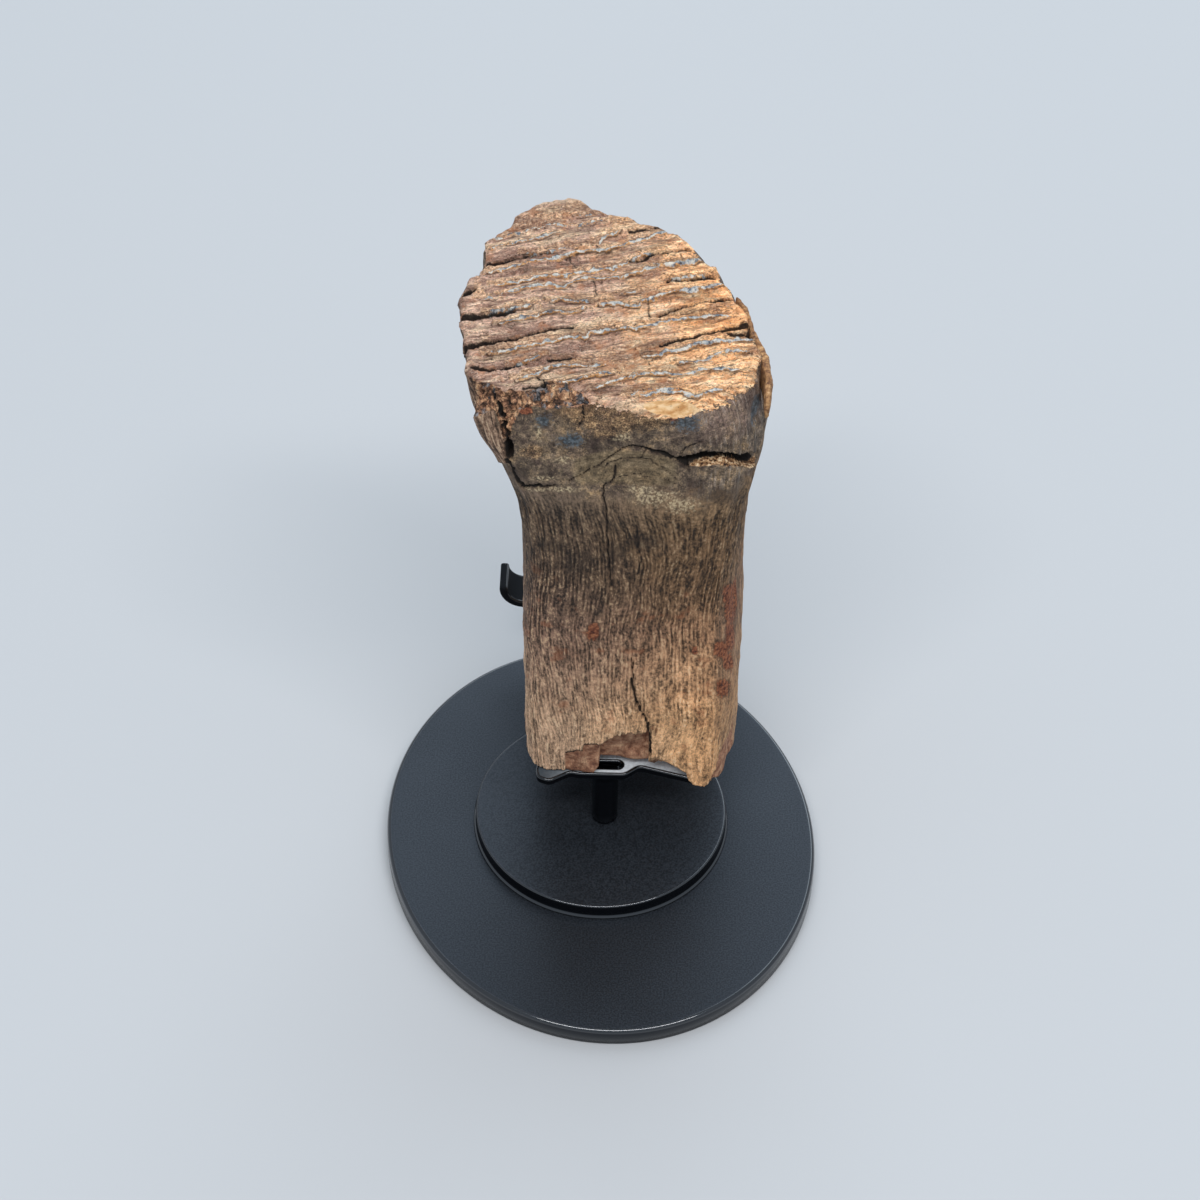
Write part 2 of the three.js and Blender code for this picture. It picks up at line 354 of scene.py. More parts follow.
# the worn rim, stepped where the plates end, round from the front left corner
rimOutline = [
    (-43.5, 0.5), (-36, -0.6), (-26, -0.8), (-18, -2.2), (-12, -3), (-8.6, -2.4), (-4.8, -1.2), (0, -2.6),
    (5, -4.4), (9, -6.2), (13, -7.4), (17, -7.8), (22, -6.8), (27, -5), (30.6, -2.2), (34.4, 0.4),
    (38.6, 2.4), (43.4, 4.8), (45.6, 10), (46.6, 15), (46.2, 19), (44.2, 24.4), (43.4, 28.5), (42.4, 33),
    (39, 38.2), (35.5, 44.6), (32.6, 50.5), (30.5, 54.6), (27.6, 55.4), (24.6, 60.6), (19.6, 67),
    (17.2, 66.6), (16, 68.4), (7, 70.2), (5, 72.4), (2, 73.3), (-2, 72.8), (-8, 76.2), (-11, 78.6),
    (-16, 79.6), (-22, 77.4), (-29, 74.6), (-31.8, 72.2), (-33.5, 67), (-41, 61.6), (-41.6, 60),
    (-40.6, 56.5), (-41.8, 52.4), (-41.2, 50), (-41.5, 47.2), (-45, 45.4), (-48.8, 38.5), (-48.3, 35),
    (-48.6, 31.5), (-47.8, 28.4), (-48, 25), (-46.6, 19), (-46.6, 14), (-45, 5),
]

# enamel edges on the worn face: places (x, y) and how strongly each shows
enamelLines = [
    (0.5, [(-13, 70.4), (-10, 71.2), (-5, 72)]),
    (0.5, [(-30, 64.3), (-25, 65.6), (-20, 68), (-17, 66.6), (-12, 67.3), (-8, 68.5), (-4, 69.8)]),
    (0.45, [(-40, 60.5), (-35, 62.3), (-30, 63.4)]),
    (0.6, [(-40, 57.3), (-36, 58.5), (-31, 60.2), (-27, 61.3), (-23, 62.5), (-19, 65)]),
    (0.55, [(-28, 55.2), (-23, 55.8), (-19, 57), (-15, 58)]),
    (0.9, [(-39, 47.5), (-35, 49), (-31, 50), (-27, 51.4), (-23, 52.6), (-18, 53.8), (-15, 55), (-11, 56.7),
           (-7, 57.3), (-3, 57.4), (1, 58.6), (3, 60), (6, 61.2), (8, 62.4), (11, 63.4), (13, 65),
           (19, 66.8)]),
    (0.7, [(-5, 60), (-4.2, 62.5), (-2.4, 64), (0, 64.3), (1, 65.6)]),
    (1.0, [(-37.5, 42.4), (-33, 43.6), (-28, 44.4), (-25, 46), (-20, 46.2), (-16, 47), (-12, 48), (-9, 48.3),
           (-6, 49), (-3, 50), (0, 50), (2, 51.4), (5, 53.2), (8, 54.5), (10, 56), (14, 57.4)]),
    (0.9, [(-35, 38.7), (-31, 40), (-28, 41.5), (-24, 42.5), (-20, 42.6), (-18, 42), (-15, 43), (-13, 45),
           (-8, 46), (-4, 46.3), (0, 46.6), (3, 46.7), (5, 48), (8, 49), (10, 50.4), (15, 51.8), (20, 52.5),
           (24, 53.5), (28, 55)]),
    (0.6, [(18, 46.9), (22, 47.2), (26, 48), (30, 48.4)]),
    (0.5, [(-41, 36.3), (-37, 36.8)]),
    (0.7, [(-19, 36.5), (-16, 37.6), (-12, 37), (-8, 36.8)]),
    (1.0, [(-4, 36.2), (0, 36.4), (3, 36.2), (6, 35.2), (8, 35.4), (9, 37.5), (12, 38), (14, 39.3),
           (17, 40.3), (20, 41), (25, 41.7), (30, 43), (34, 44.4)]),
    (0.7, [(3.5, 40), (5.5, 40.4), (7.5, 40.6)]),
    (0.8, [(-39, 31), (-36, 31.6), (-33, 33), (-30, 33.8), (-26, 35)]),
    (0.9, [(-35, 26.5), (-31, 28.6), (-27, 30.2), (-23, 31.4), (-20, 32.3), (-17, 32.8), (-15, 32),
           (-12, 32.6), (-10, 33.6), (-9, 35)]),
    (1.0, [(-38, 15.4), (-33, 16.2), (-28, 17.6), (-24, 19), (-20, 20.6), (-16, 21), (-13, 22.3), (-10, 22),
           (-8, 22.4), (-7, 24), (-3, 24.6), (0, 25.8), (4, 26.3), (7, 25.4), (9, 26.2), (13, 26.8),
           (15, 28.4), (20, 30), (25, 31.2), (30, 32.2), (34, 32.4), (37, 31.3)]),
    (0.7, [(-30, 10.6), (-26, 12), (-22, 14)]),
    (0.8, [(-29, 5), (-26, 6.4), (-22, 8), (-19, 10), (-15, 11), (-10, 11.3), (-7, 10.5), (-4, 11),
           (-2, 12.2)]),
    (1.0, [(10, 15.8), (13, 15.4), (16, 17.2), (19, 17.7), (23, 18.6), (27, 20.5), (31, 21.4), (35, 22.3),
           (40, 22.7), (44, 23.2)]),
    (0.9, [(-19, 4), (-15, 4.8), (-10, 5.3), (-7, 7), (-3, 8), (0, 8.2)]),
    (0.8, [(21, 12.6), (25, 13.5), (28, 14.3), (31, 15.8), (34, 17.4), (37, 18), (43, 18)]),
    (0.9, [(-5, 1.4), (-1, 4), (3, 6), (8, 8), (12, 8.4), (17, 8.5), (20, 8), (24, 9), (28, 10.6), (35, 11),
           (40, 10.5)]),
    (0.6, [(6, 0.4), (8, 1.8), (10, 2.3), (14, 2.6), (21, 2.9)]),
    (1.0, [(9, 0.6), (12, 1.1), (17, 1.7), (22, 1.4), (25, 0), (26, -0.6), (28, 0.7), (31, 2), (34, 3.5)]),
]

# open cracks in the worn face: places, half width at each end, depth
topCracks = [
    ([(-42, 51.3), (-36, 51.9), (-33, 53), (-30, 54), (-26.5, 55), (-20, 56.4)], 0.75, 0.2, 3.0),
    ([(5, 53.2), (9.2, 53.6), (11, 55.5), (14, 56.7), (17, 57.6), (23, 58.8), (25.5, 59.2), (27, 57)],
     0.35, 0.6, 2.4),
    ([(17, 45.8), (20, 46.2), (24, 46.8), (28, 47.6), (33, 47.8)], 0.35, 0.5, 2.0),
    ([(13, 30.6), (19, 33.5), (22, 35), (28, 36.5), (33, 38), (38, 38.8)], 0.15, 0.5, 2.2),
    ([(38, 38.8), (40, 37.4)], 0.7, 1.2, 4.0),
    ([(-46.5, 18), (-42, 18.7), (-38, 19.8), (-34, 20.8), (-30.5, 21.3)], 1.3, 0.8, 4.5),
    ([(-30.5, 21.3), (-27, 22.6), (-24, 24), (-18, 25.4), (-12.5, 25.6)], 0.35, 0.4, 1.8),
    ([(-49, 29), (-44, 29.3), (-40, 30.1), (-36, 31.3), (-31, 32.6)], 1.2, 0.25, 2.6),
    ([(15, 19.4), (19, 21), (23, 22.3), (27, 24), (29, 25.3)], 0.3, 0.6, 1.4),
    ([(29, 25.3), (33, 26.4), (37, 27.3), (42, 28.6)], 0.6, 1.1, 2.4),
    ([(44, 29), (43.2, 24.6)], 0.5, 1.3, 4.5),
    ([(36, 24.9), (41, 24.8)], 0.5, 0.6, 1.6),
    ([(-43, 9.8), (-38, 8.9), (-33, 9.4), (-29, 10.3), (-26, 11.4)], 0.7, 0.2, 1.8),
    ([(-50, 37.4), (-46, 39.2), (-43.5, 40.2)], 1.2, 0.4, 3.0),
    ([(-20, 13.5), (-16, 13.1), (-12.5, 14)], 0.25, 0.3, 0.8),
    ([(-27, 2.7), (-22, 3.2), (-19, 4.4)], 0.2, 0.2, 0.8),
    ([(11, 38), (11.2, 34), (11.5, 31)], 0.02, 0.07, 0.4),
    ([(-7, 45.4), (-5.2, 43.2), (-5.2, 39)], 0.0, 0.07, 0.4),
    ([(-15, 54.8), (-13, 52), (-12, 50.2)], 0.04, 0.02, 0.3),
    ([(11, 14), (12.4, 11.5)], 0.07, 0.06, 0.4),
    ([(-23, 6.4), (-20, 4)], 0.1, 0.15, 0.4),
    ([(4, 65.5), (6, 65.6), (8.5, 66.6), (11, 66.8)], 0.2, 0.2, 0.6),
    ([(13, 68), (16, 68.4)], 0.3, 0.4, 0.8),
    ([(21, 56.5), (21.6, 54)], 0.0, -0.04, 0.3),
]

# marks on the end plate are laid out on a flat sheet held against it: x, and a height that
# leans back over the curve of the plate
sheetLean = {"y": -8.0, "furthestY": 3.0, "atFoot": 1.22, "perMm": -0.00145}


def onSheet(x, y, z):
    lean = sheetLean["atFoot"] + sheetLean["perMm"] * z
    return np.stack([x, z + lean * (np.minimum(y, sheetLean["furthestY"]) - sheetLean["y"])], -1)


# cracks in the end plate: places (x, height), half width at each end, depth
plateCracks = [
    ([(4, 201.5), (7.8, 202.2), (11.7, 201.1), (15.6, 199.7), (19, 198.4)], 0.16, 0.55, 1.6),
    ([(-12.2, 186.7), (-11, 188.4), (-9.1, 189.5), (-6, 192.6), (-2.9, 194.2), (0.2, 197.9), (4, 201.3)],
     0.08, 0.12, 0.7),
    ([(1.4, 194.2), (1.9, 188.6), (0.6, 187), (-1.6, 185.5), (-1.7, 181), (-1.2, 177), (-0.6, 172.4),
      (0.2, 159), (1, 152), (1.2, 146), (1.7, 138.3)], 0.12, 0.09, 0.7),
    ([(1.9, 188.6), (5, 190.2), (8.8, 190.7), (11, 189.2), (12.8, 189), (18.3, 188.3), (22.2, 186),
      (25.4, 183.7)], 0.08, 0.04, 0.45),
    ([(-2.9, 192.4), (1, 195.8), (4.8, 197.5), (9.5, 197.6), (12.6, 196.7), (17.4, 193.1), (21, 188.9)],
     0.05, 0.05, 0.5),
    ([(9.9, 197.6), (10.3, 199.4), (11, 200.7)], 0.08, 0.06, 0.4),
    ([(-32, 195), (-31.6, 191.6), (-28.9, 186.4), (-26.8, 184.2), (-21.6, 183.9),
      (-16.9, 184.7)], 0.75, 0.25, 1.8),
    ([(-36, 221), (-34.6, 216), (-33.6, 212), (-33.2, 208.5), (-32, 206), (-31.6, 203.5)], 0.1, 0.25, 1.4),
    ([(-31.4, 203), (-30.9, 200), (-31, 196.8)], 0.9, 1.1, 4.5),
    ([(-32.4, 192.6), (-30.6, 191)], 0.9, 0.7, 2.4),
    ([(-8.5, 219), (-8.2, 215), (-9, 212), (-10, 210)], 0.14, 0.08, 0.7),
    ([(22.4, 199.5), (23.4, 201.6), (26, 203.4), (29, 204.4)], 0.07, 0.02, 0.4),
    ([(9.4, 105.4), (9.6, 100), (9.3, 95.8), (9.8, 90), (10.6, 86), (12.6, 78.5), (14.6, 75.4), (15, 71),
      (15.6, 68)], 0.07, 0.34, 1.3),
    ([(15.6, 68), (16, 62), (16.2, 57)], 0.32, 0.28, 2.0),
    ([(9.2, 168), (9.7, 159), (10.4, 151.5), (10.2, 145)], 0.08, 0.08, 0.4),
    ([(44.2, 210), (43.6, 205), (44.6, 201.5)], 0.12, 0.3, 0.7),
    ([(22, 197.6), (23.4, 196), (24.6, 193.8)], 1.1, 0.3, 2.6),
]

# the open gap under the right of the crown: outer edge of the shelf below it, its roof, and the shelf's depth
neckGap = {
    "lip": [(17, 199.3), (18.8, 198), (21.2, 196.6), (23.6, 194.8), (26, 194.8), (28.2, 194.8), (31.3, 195.4),
            (34.4, 196.1), (38.4, 195.4), (43.3, 194.5), (46, 195.5), (50, 196)],
    "roof": [(17, 200), (18.8, 199.2), (22, 198.2), (24.3, 198.5), (26.7, 199.8), (28.9, 201.2),
             (32.6, 201.4), (37.6, 200.5), (41, 199.8), (44, 200.5), (50, 201)],
    "shelf": [(17, 0.2), (24, 0.3), (26.5, 1.0), (28.5, 2.2), (33, 2.2), (38, 2.4), (43, 2.4), (50, 2.4)],
    "depth": 7.0, "overhang": 0.5,
}

# the slab standing proud at the left of the crown, and the broken edge of the rim beside it
leftSlab = {"edge": [(-36, 224), (-35.2, 212), (-33, 207), (-31, 202), (-31, 196), (-31.8, 193)],
            "end": [(-31, 192.6), (-36, 194.4), (-46, 197)], "proud": 0.9}
crumbEdge = [(-48, 214), (-42, 213.5), (-38.5, 215), (-36, 216.5), (-34.4, 211), (-33, 205.5), (-31.4, 204.5),
             (-30.2, 210), (-29, 212.8), (-27.2, 216.6), (-23.8, 218.6), (-19.6, 216.4), (-16.8, 218.8),
             (-12.8, 219.7), (-8.9, 221.8), (-5, 224), (0, 228)]
crumbTop = [(-46, 4), (-40, 3.6), (-36, 2.8), (-30, 1.6), (-24, 2.6), (-19, 4.4), (-14, 4.2), (-11, 2),
            (-8, 0.4), (-5, -4)]

# the broken foot: the edge of the outer layer, the chunk left of the arch, and the foot's lower edge
archEdge = [(-12.8, 57.2), (-10.5, 57.8), (-8.6, 58.4), (-7, 57.6), (-6.4, 61.4), (-2, 61.8), (-1, 61),
            (1, 63), (4, 65.2), (7.5, 66.9), (9.6, 67.7), (11, 66.2), (12.5, 67), (15.8, 68.2)]
foot = {
    "chunk": (-12.8, -1.2), "arch": (-1.2, 15.9), "chunkDepth": 1.1, "archDepth": 5.6,
    "lowerEdge": [(-26, 45.6), (-22, 44), (-19, 43.5), (-15.5, 44.4), (-13, 44.6), (-10.5, 43.6), (-3, 43.7),
                  (-1.6, 46.5), (-0.8, 47.8), (6, 47.4), (12, 47), (15.4, 48), (16.6, 55.4), (18, 55),
                  (22, 53.6), (26, 51.4), (29, 49.6), (30, 46), (31.5, 43.9), (35.3, 43.5), (36.4, 44.4),
                  (37.8, 46.2), (39.2, 46.6), (40.5, 45.6), (42.4, 44.8), (50, 44.4)],
    # right of this line the corner is gone
    "facetEdge": [(38.2, 47.2), (39.7, 51.4), (40.9, 58), (42.2, 63.8), (43.9, 69.5)],
}

# stains and chips on the end plate: centre (x, height), half width, half height
patches = {
    "rust": [(-3.9, 118, 1.7, 3.6), (38.6, 111.2, 2.2, 3.4), (41.6, 137, 2.6, 4.5), (41.8, 130.5, 1.8, 5.5),
             (41.9, 117.5, 1.5, 5.5), (39.8, 92.6, 1.9, 3.6), (41.2, 105.5, 1.5, 3.2),
             (29.7, 110.5, 0.9, 1.4), (19.4, 214.3, 1.1, 0.9), (-26.2, 216.4, 1.8, 1.6)],
    "blue": [(24, 213.0, 5.4, 5.0), (-12.2, 204.2, 5.0, 3.6), (-20.8, 211.6, 3.2, 3.4),
             (-33.8, 217, 0.9, 5.5), (-31, 214, 0.6, 3.5), (-17, 218.5, 2.0, 1.2), (-13, 219.6, 1.6, 0.9),
             (46, 217, 1.2, 6)],
    # pale spots: high on the plate pale mottling, low on the root painted light
    "pale": [(15, 180.5, 8, 4), (23, 177.5, 6, 3.6), (10, 184, 4.5, 2.4), (4, 206, 3.2, 1.8),
             (-14.5, 195.6, 3.2, 1.6), (2, 77, 8, 6), (28, 84, 6, 7), (26, 100, 4, 6), (-22, 207, 1.0, 4),
             (-20, 187.6, 4, 1.0), (-14, 183.2, 6, 1.3), (-22.5, 182.8, 5.5, 0.8)],
    "soot": [(-10, 151, 8, 7), (-2.4, 127.4, 2.6, 3.0), (3, 156, 6, 6), (-17, 158, 7, 4), (12, 161, 9, 5),
             (37, 182, 9, 5), (-24.4, 111.6, 0.8, 0.7), (36.7, 115, 1.1, 0.8), (29.6, 111.6, 0.9, 0.5),
             (39.4, 95.4, 1.5, 0.4), (-21, 219.5, 2.5, 1.5), (-28, 190, 5, 4), (-16.4, 216, 1.4, 1.4)],
    "olive": [(-1, 213, 14, 8), (14, 214, 8, 5), (6, 190, 12, 5), (-24, 199, 4, 3)],
}


def closedCurve(points, where):  # centripetal Catmull-Rom round a ring of points
    ring = np.array(points, float)
    place = (where % 1) * len(ring)
    i = np.floor(place).astype(int)
    w = (place - i)[:, None]
    p0, p1, p2, p3 = [ring[(i + k) % len(ring)] for k in (-1, 0, 1, 2)]
    d0, d1, d2 = [np.sqrt(np.linalg.norm(b - a, axis=1))[:, None] for a, b in ((p0, p1), (p1, p2), (p2, p3))]
    t1 = ((p1 - p0) / d0 - (p2 - p0) / (d0 + d1) + (p2 - p1) / d1) * d1
    t2 = ((p2 - p1) / d1 - (p3 - p1) / (d1 + d2) + (p3 - p2) / d2) * d1
    return p1 + t1 * w + (3 * (p2 - p1) - 2 * t1 - t2) * w ** 2 + (2 * (p1 - p2) + t1 + t2) * w ** 3


def occlusalZ(y):  # height of the worn plane, which rises towards the back
    startY, startZ = tooth["occlusalFront"]
    return startZ + tooth["occlusalSlope"] * (y - startY)


def columnPlaces():  # shares of the way round, close together across the end plate
    front = np.linspace(0, 0.25, tooth["frontColumns"], endpoint=False)
    ease = np.linspace(0, 1, tooth["sideColumns"], endpoint=False)
    right = 0.25 + 0.25 * (0.45 * ease + 0.55 * ease ** 2)
    back = np.linspace(0.5, 0.75, tooth["backColumns"], endpoint=False)
    left = 0.75 + 0.25 * (1 - (0.45 * (1 - ease) + 0.55 * (1 - ease) ** 2))
    return np.concatenate([front, right, back, left])


def rowPlaces():  # shares of the height, close together at the foot, the neck and the crown
    tall = tooth["occlusalFront"][1] - tooth["footZ"]
    rows = [0.0]
    while rows[-1] < 1:
        z = tooth["footZ"] + rows[-1] * tall
        step = next(step for top, step in tooth["rowSteps"] if z < top)
        rows.append(rows[-1] + step / tall)
    rows = np.array(rows)
    return rows / rows[-1]


def ribsAt(where, heights):  # (rows, columns, 2) outline points, smooth in both directions
    levels = np.array(sorted(toothRibs))
    rings = np.stack([closedCurve(toothRibs[level], where) for level in sorted(toothRibs)])
    slope = np.gradient(rings, levels, axis=0)
    i = np.clip(np.searchsorted(levels, heights, "right") - 1, 0, len(levels) - 2)
    span = (levels[i + 1] - levels[i])[:, None, None]
    t = ((heights - levels[i]) / (levels[i + 1] - levels[i]))[:, None, None]
    a, b = rings[i], rings[i + 1]
    return (a * (2 * t ** 3 - 3 * t ** 2 + 1) + slope[i] * span * (t ** 3 - 2 * t ** 2 + t)
            + b * (3 * t ** 2 - 2 * t ** 3) + slope[i + 1] * span * (t ** 3 - t ** 2))


def ringNormals(points):  # outward, level normals for rows of rings
    along = np.roll(points, -1, 1) - np.roll(points, 1, 1)
    out = np.stack([along[..., 1], -along[..., 0]], -1)
    return out / np.linalg.norm(out, axis=-1, keepdims=True)


def carve(distance, half, depth):  # a groove's depth, with its sides sloping
    return depth * (1 - smoothStep(distance, half * 0.55, half + 0.28))


def crackField(places, cracks, wobble, seed):  # how deep each point is cut, and its distance from an edge
    shake = np.stack([lumps(places, 2.2, seed + first) * 0.4 + lumps(places, 7, seed + second) * 0.4
                      + lumps(places, 0.9, seed + third) * 0.25
                      for first, second, third in ((0, 1, 4), (2, 3, 5))], -1) * wobble
    cut, edge = np.zeros(len(places)), np.full(len(places), 9.0)
    for path, halfStart, halfEnd, depth in cracks:
        low, high = np.min(path, 0) - 4, np.max(path, 0) + 4
        near = np.all((places > low) & (places < high), 1)
        distance, along = nearPath((places + shake)[near], path)
        half = halfStart + (halfEnd - halfStart) * along
        cut[near] = np.maximum(cut[near], carve(distance, half, depth))
        edge[near] = np.minimum(edge[near], distance - half)
    return cut, edge


def patchField(places, spots, power):  # 1 in the middle of a spot, 0 on its edge, falling to -1 outside
    field = np.full(len(places), -1.0)
    for x, z, halfWidth, halfHeight in spots:
        across, up = np.abs(places[:, 0] - x) / halfWidth, np.abs(places[:, 1] - z) / halfHeight
        reach = (across ** power + up ** power) ** (1 / power)
        field = np.maximum(field, 1 - reach)
    return field


def frontWeight(where):  # 1 across the end plate, 0 on the other sides
    return smoothStep(where, 0.004, 0.02) * (1 - smoothStep(where, 0.235, 0.252))


def toothWall():
    where, heights = columnPlaces(), rowPlaces()
    plan = ribsAt(where, heights)
    out = ringNormals(plan)
    front = frontWeight(where)
    h = heights[:, None]

    # the stepped rim, whose grooves run on down the sides
    centre = np.array(tooth["rimCentre"])
    spoke = plan[-1] - centre
    angle = np.arctan2(spoke[:, 1], spoke[:, 0])
    rim = np.array(rimOutline) - centre
    rimAngle = np.arctan2(rim[:, 1], rim[:, 0])
    order = np.argsort(rimAngle)
    reach = np.interp(angle, rimAngle[order], np.linalg.norm(rim, axis=1)[order], period=2 * math.pi)
    shift = reach - np.linalg.norm(spoke, axis=1)
    runDown = 0.55 * np.exp((h - 1) / 0.035) + 0.45 * np.exp((h - 1) / 0.3)
    runFront = np.exp((h - 1) / 0.03)
    weight = front * runFront + (1 - front) * runDown
    plan = plan + weight[..., None] * (shift[:, None] * spoke / np.linalg.norm(spoke, axis=1)[:, None])

    x, y = plan[..., 0], plan[..., 1]
    topZ = occlusalZ(y[-1])
    z = tooth["footZ"] + (topZ - tooth["footZ"]) * h
    edgeZ = np.interp(x[0], *np.array(foot["lowerEdge"]).T)
    lift = (edgeZ - tooth["footZ"]) * (1 - smoothStep(y[0], 2, 14)) * (1 - smoothStep(h, 0, 0.13))
    z = z + lift
    waist = plan[len(heights) // 2]  # the fibres run straight up through this outline
    grain = np.stack([np.broadcast_to(waist[:, 0], x.shape), np.broadcast_to(waist[:, 1], x.shape), z], -1)
    steps = np.linalg.norm(np.roll(waist, -1, 0) - waist, axis=1)
    ribs = round(steps.sum() / tooth["ribSpacing"])
    around = np.concatenate([[0], np.cumsum(steps)[:-1]]) / steps.sum() * ribs
    return {"heights": heights, "points": np.stack([x, y, z], -1), "out": out, "grain": grain, "ribs": ribs,
            "front": np.broadcast_to(front, x.shape), "around": np.broadcast_to(around, x.shape)}


def shelfProfile(s, lip, roof, shelf, depth):  # how far in, and at what height, each point of the gap lies
    place = np.clip((s - lip) / (roof - lip), 0, 1)
    inward = np.where(place < 0.5, shelf * place / 0.5,
                      np.where(place < 0.66, shelf + (depth - shelf) * (place - 0.5) / 0.16,
                               np.where(place < 0.84, depth, depth * (1 - place) / 0.16)))
    height = np.where(place < 0.5, lip + 1.1 * place,
                      np.where(place < 0.84, lip + 0.55 + (roof + 0.5 - lip - 0.55) * (place - 0.5) / 0.34,
                               roof + 0.5 * (1 - place) / 0.16))
    return inward, np.where((s > lip) & (s < roof), height - s, 0), place


def gapRelief(sheet, y):  # the open gap, the crumbled shelf under it and the crown's overhang
    x, s = sheet.T
    shaken = s + lumps(sheet, 3, 31) * 0.45 + lumps(sheet, 1.2, 32) * 0.25
    lip, roof, shelf = [np.interp(x, *np.array(neckGap[part]).T) for part in ("lip", "roof", "shelf")]
    shelf = shelf * (1 + 0.25 * lumps(sheet, 2.5, 33))
    inGap = smoothStep(x, 17.5, 21) * (1 - smoothStep(y, 2, 9))
    inward, rise, place = shelfProfile(shaken, lip, roof, shelf, neckGap["depth"])
    within = (shaken > lip) & (shaken < roof)
    # the back of the gap gets a low edge value, which the material paints near black as painted shade
    edge = np.where(within & (inGap > 0.4), (0.5 - place) * 6 + 0.1, 9.0)
    ledge = smoothStep(x, 23.5, 27) * smoothStep(shaken, lip - 0.6, lip + 0.2)
    ledge *= 1 - smoothStep(place, 0.47, 0.52)
    above, below = shaken - roof, lip - shaken
    bulge = (above > 0) * np.exp(-above / 3) + (below >= 0) * np.exp(-below / 2.5)
    overhang = neckGap["overhang"] * inGap * bulge
    return inward * inGap * within, edge, rise * inGap * within, inGap * ledge, overhang


def slabMask(sheet, y):  # 1 on the slab at the left of the crown
    x, s = sheet.T
    side = np.interp(s, *np.array(leftSlab["edge"])[::-1, ::-1].T) + lumps(sheet, 3, 34) * 0.3
    end = np.interp(-x, *(np.array(leftSlab["end"]) * (-1, 1)).T) + lumps(sheet, 2.5, 35) * 0.4
    return smoothStep(side - x, -0.1, 0.5) * smoothStep(s - end, -0.1, 0.5) * (1 - smoothStep(y, 9, 24))


def footRelief(sheet, flat, front):  # the broken foot: the chunk, the arch and the missing corner
    x, s = sheet.T
    ragged = np.interp(x, *np.array(archEdge).T) + lumps(sheet, 2.4, 41) * 0.3
    lower = smoothStep(ragged - s, -0.25, 0.45) * smoothStep(front, 0.2, 0.8)
    chunk, arch = foot["chunk"], foot["arch"]
    inChunk = smoothStep(x, chunk[0] - 0.3, chunk[0] + 0.3) * (x < chunk[1])
    inArch = (x >= arch[0]) * (1 - smoothStep(x, arch[1] - 0.5, arch[1] + 0.2))
    cut = np.maximum(lower * inChunk * (foot["chunkDepth"] + 0.6 * lumps(sheet, 4, 42)),
                     lower * inArch * (foot["archDepth"] + 0.9 * lumps(sheet, 5, 43)))
    # a low edge value along the broken edge of the outer layer, painted dark as a shadow line
    edge = np.where((inChunk + inArch > 0.5) & (front > 0.5), np.abs(s - ragged) - 0.3, 9.0)
    cornerX, cornerS = np.array(foot["facetEdge"]).T
    beyond = x - np.interp(s, cornerS, cornerX) + lumps(sheet, 2.5, 45) * 0.35
    facet = smoothStep(beyond, -0.1, 0.35) * (1 - smoothStep(s, 69, 72)) * (x > 30)
    facet = facet * (1 - smoothStep(flat[:, 1], 6, 12))
    cut = np.maximum(cut, facet * (0.75 + 0.35 * lumps(flat, 3, 46)))
    return cut, edge, np.maximum(lower * np.maximum(inChunk, inArch), facet)


def bossRelief(sheet, front):  # the boss of growth rings left of the gap
    x, s = sheet.T
    reach = np.linalg.norm(sheet - np.array(tooth["ringCentre"]), axis=1)
    boss = smoothStep(reach, 14, 20) * (1 - smoothStep(reach, 31.5, 33.5)) * smoothStep(s, 183, 189)
    boss *= smoothStep(x, -13, -9) * (1 - smoothStep(x, 18, 24)) * front
    return boss, boss * (0.5 + 0.16 * np.sin(reach * 2.4 + lumps(sheet, 6, 44) * 2)), reach


def flankRelief(sheet, flat, out, height, flank):  # broad unevenness all round, and fluting down both flanks
    x, y, z = flat.T
    sideways = smoothStep(np.abs(out[:, 0]), 0.55, 0.85)
    wander = lumps(flat, 22, 51) * 0.9 + lumps(flat, 9, 52) * 0.35
    plate = (y - 0.19 * x + lumps(flat, 18, 53) * 1.5) / tooth["plateSpacing"]
    flute = np.cos(plate * 2 * math.pi) * (0.25 + 0.9 * smoothStep(height, 0.45, 0.95))
    slit = 1 - smoothStep(np.abs(np.sin(plate * math.pi)), 0.0, 0.14)
    slit *= smoothStep(lumps(flat, 14, 54), -0.1, 0.5) * smoothStep(height, 0.5, 0.85) * sideways
    push = flank * (wander + flute * sideways * 0.55 - slit * 1.3) + (1 - flank) * wander * 0.45
    push = push + (1 - flank) * 0.3 * lumps(sheet, 4, 56) * smoothStep(sheet[:, 1], 184, 190)
    behindFlake = smoothStep(z, 200, 203) * smoothStep(y, -1, 2) * (1 - smoothStep(y, 12, 22)) * (x > 20)
    return slit * flank, push - behindFlake * 0.9


def crumbRelief(sheet, y):  # the broken front left rim, which leans back
    x, s = sheet.T
    past = s - (np.interp(x, *np.array(crumbEdge).T) + lumps(sheet, 2.2, 55) * 0.8)
    crumb = smoothStep(past, -0.3, 0.6) * (1 - smoothStep(y, 3, 8)) * (x < 0)
    return crumb, crumb * (0.2 + np.clip(past, 0, 4) * 0.42)


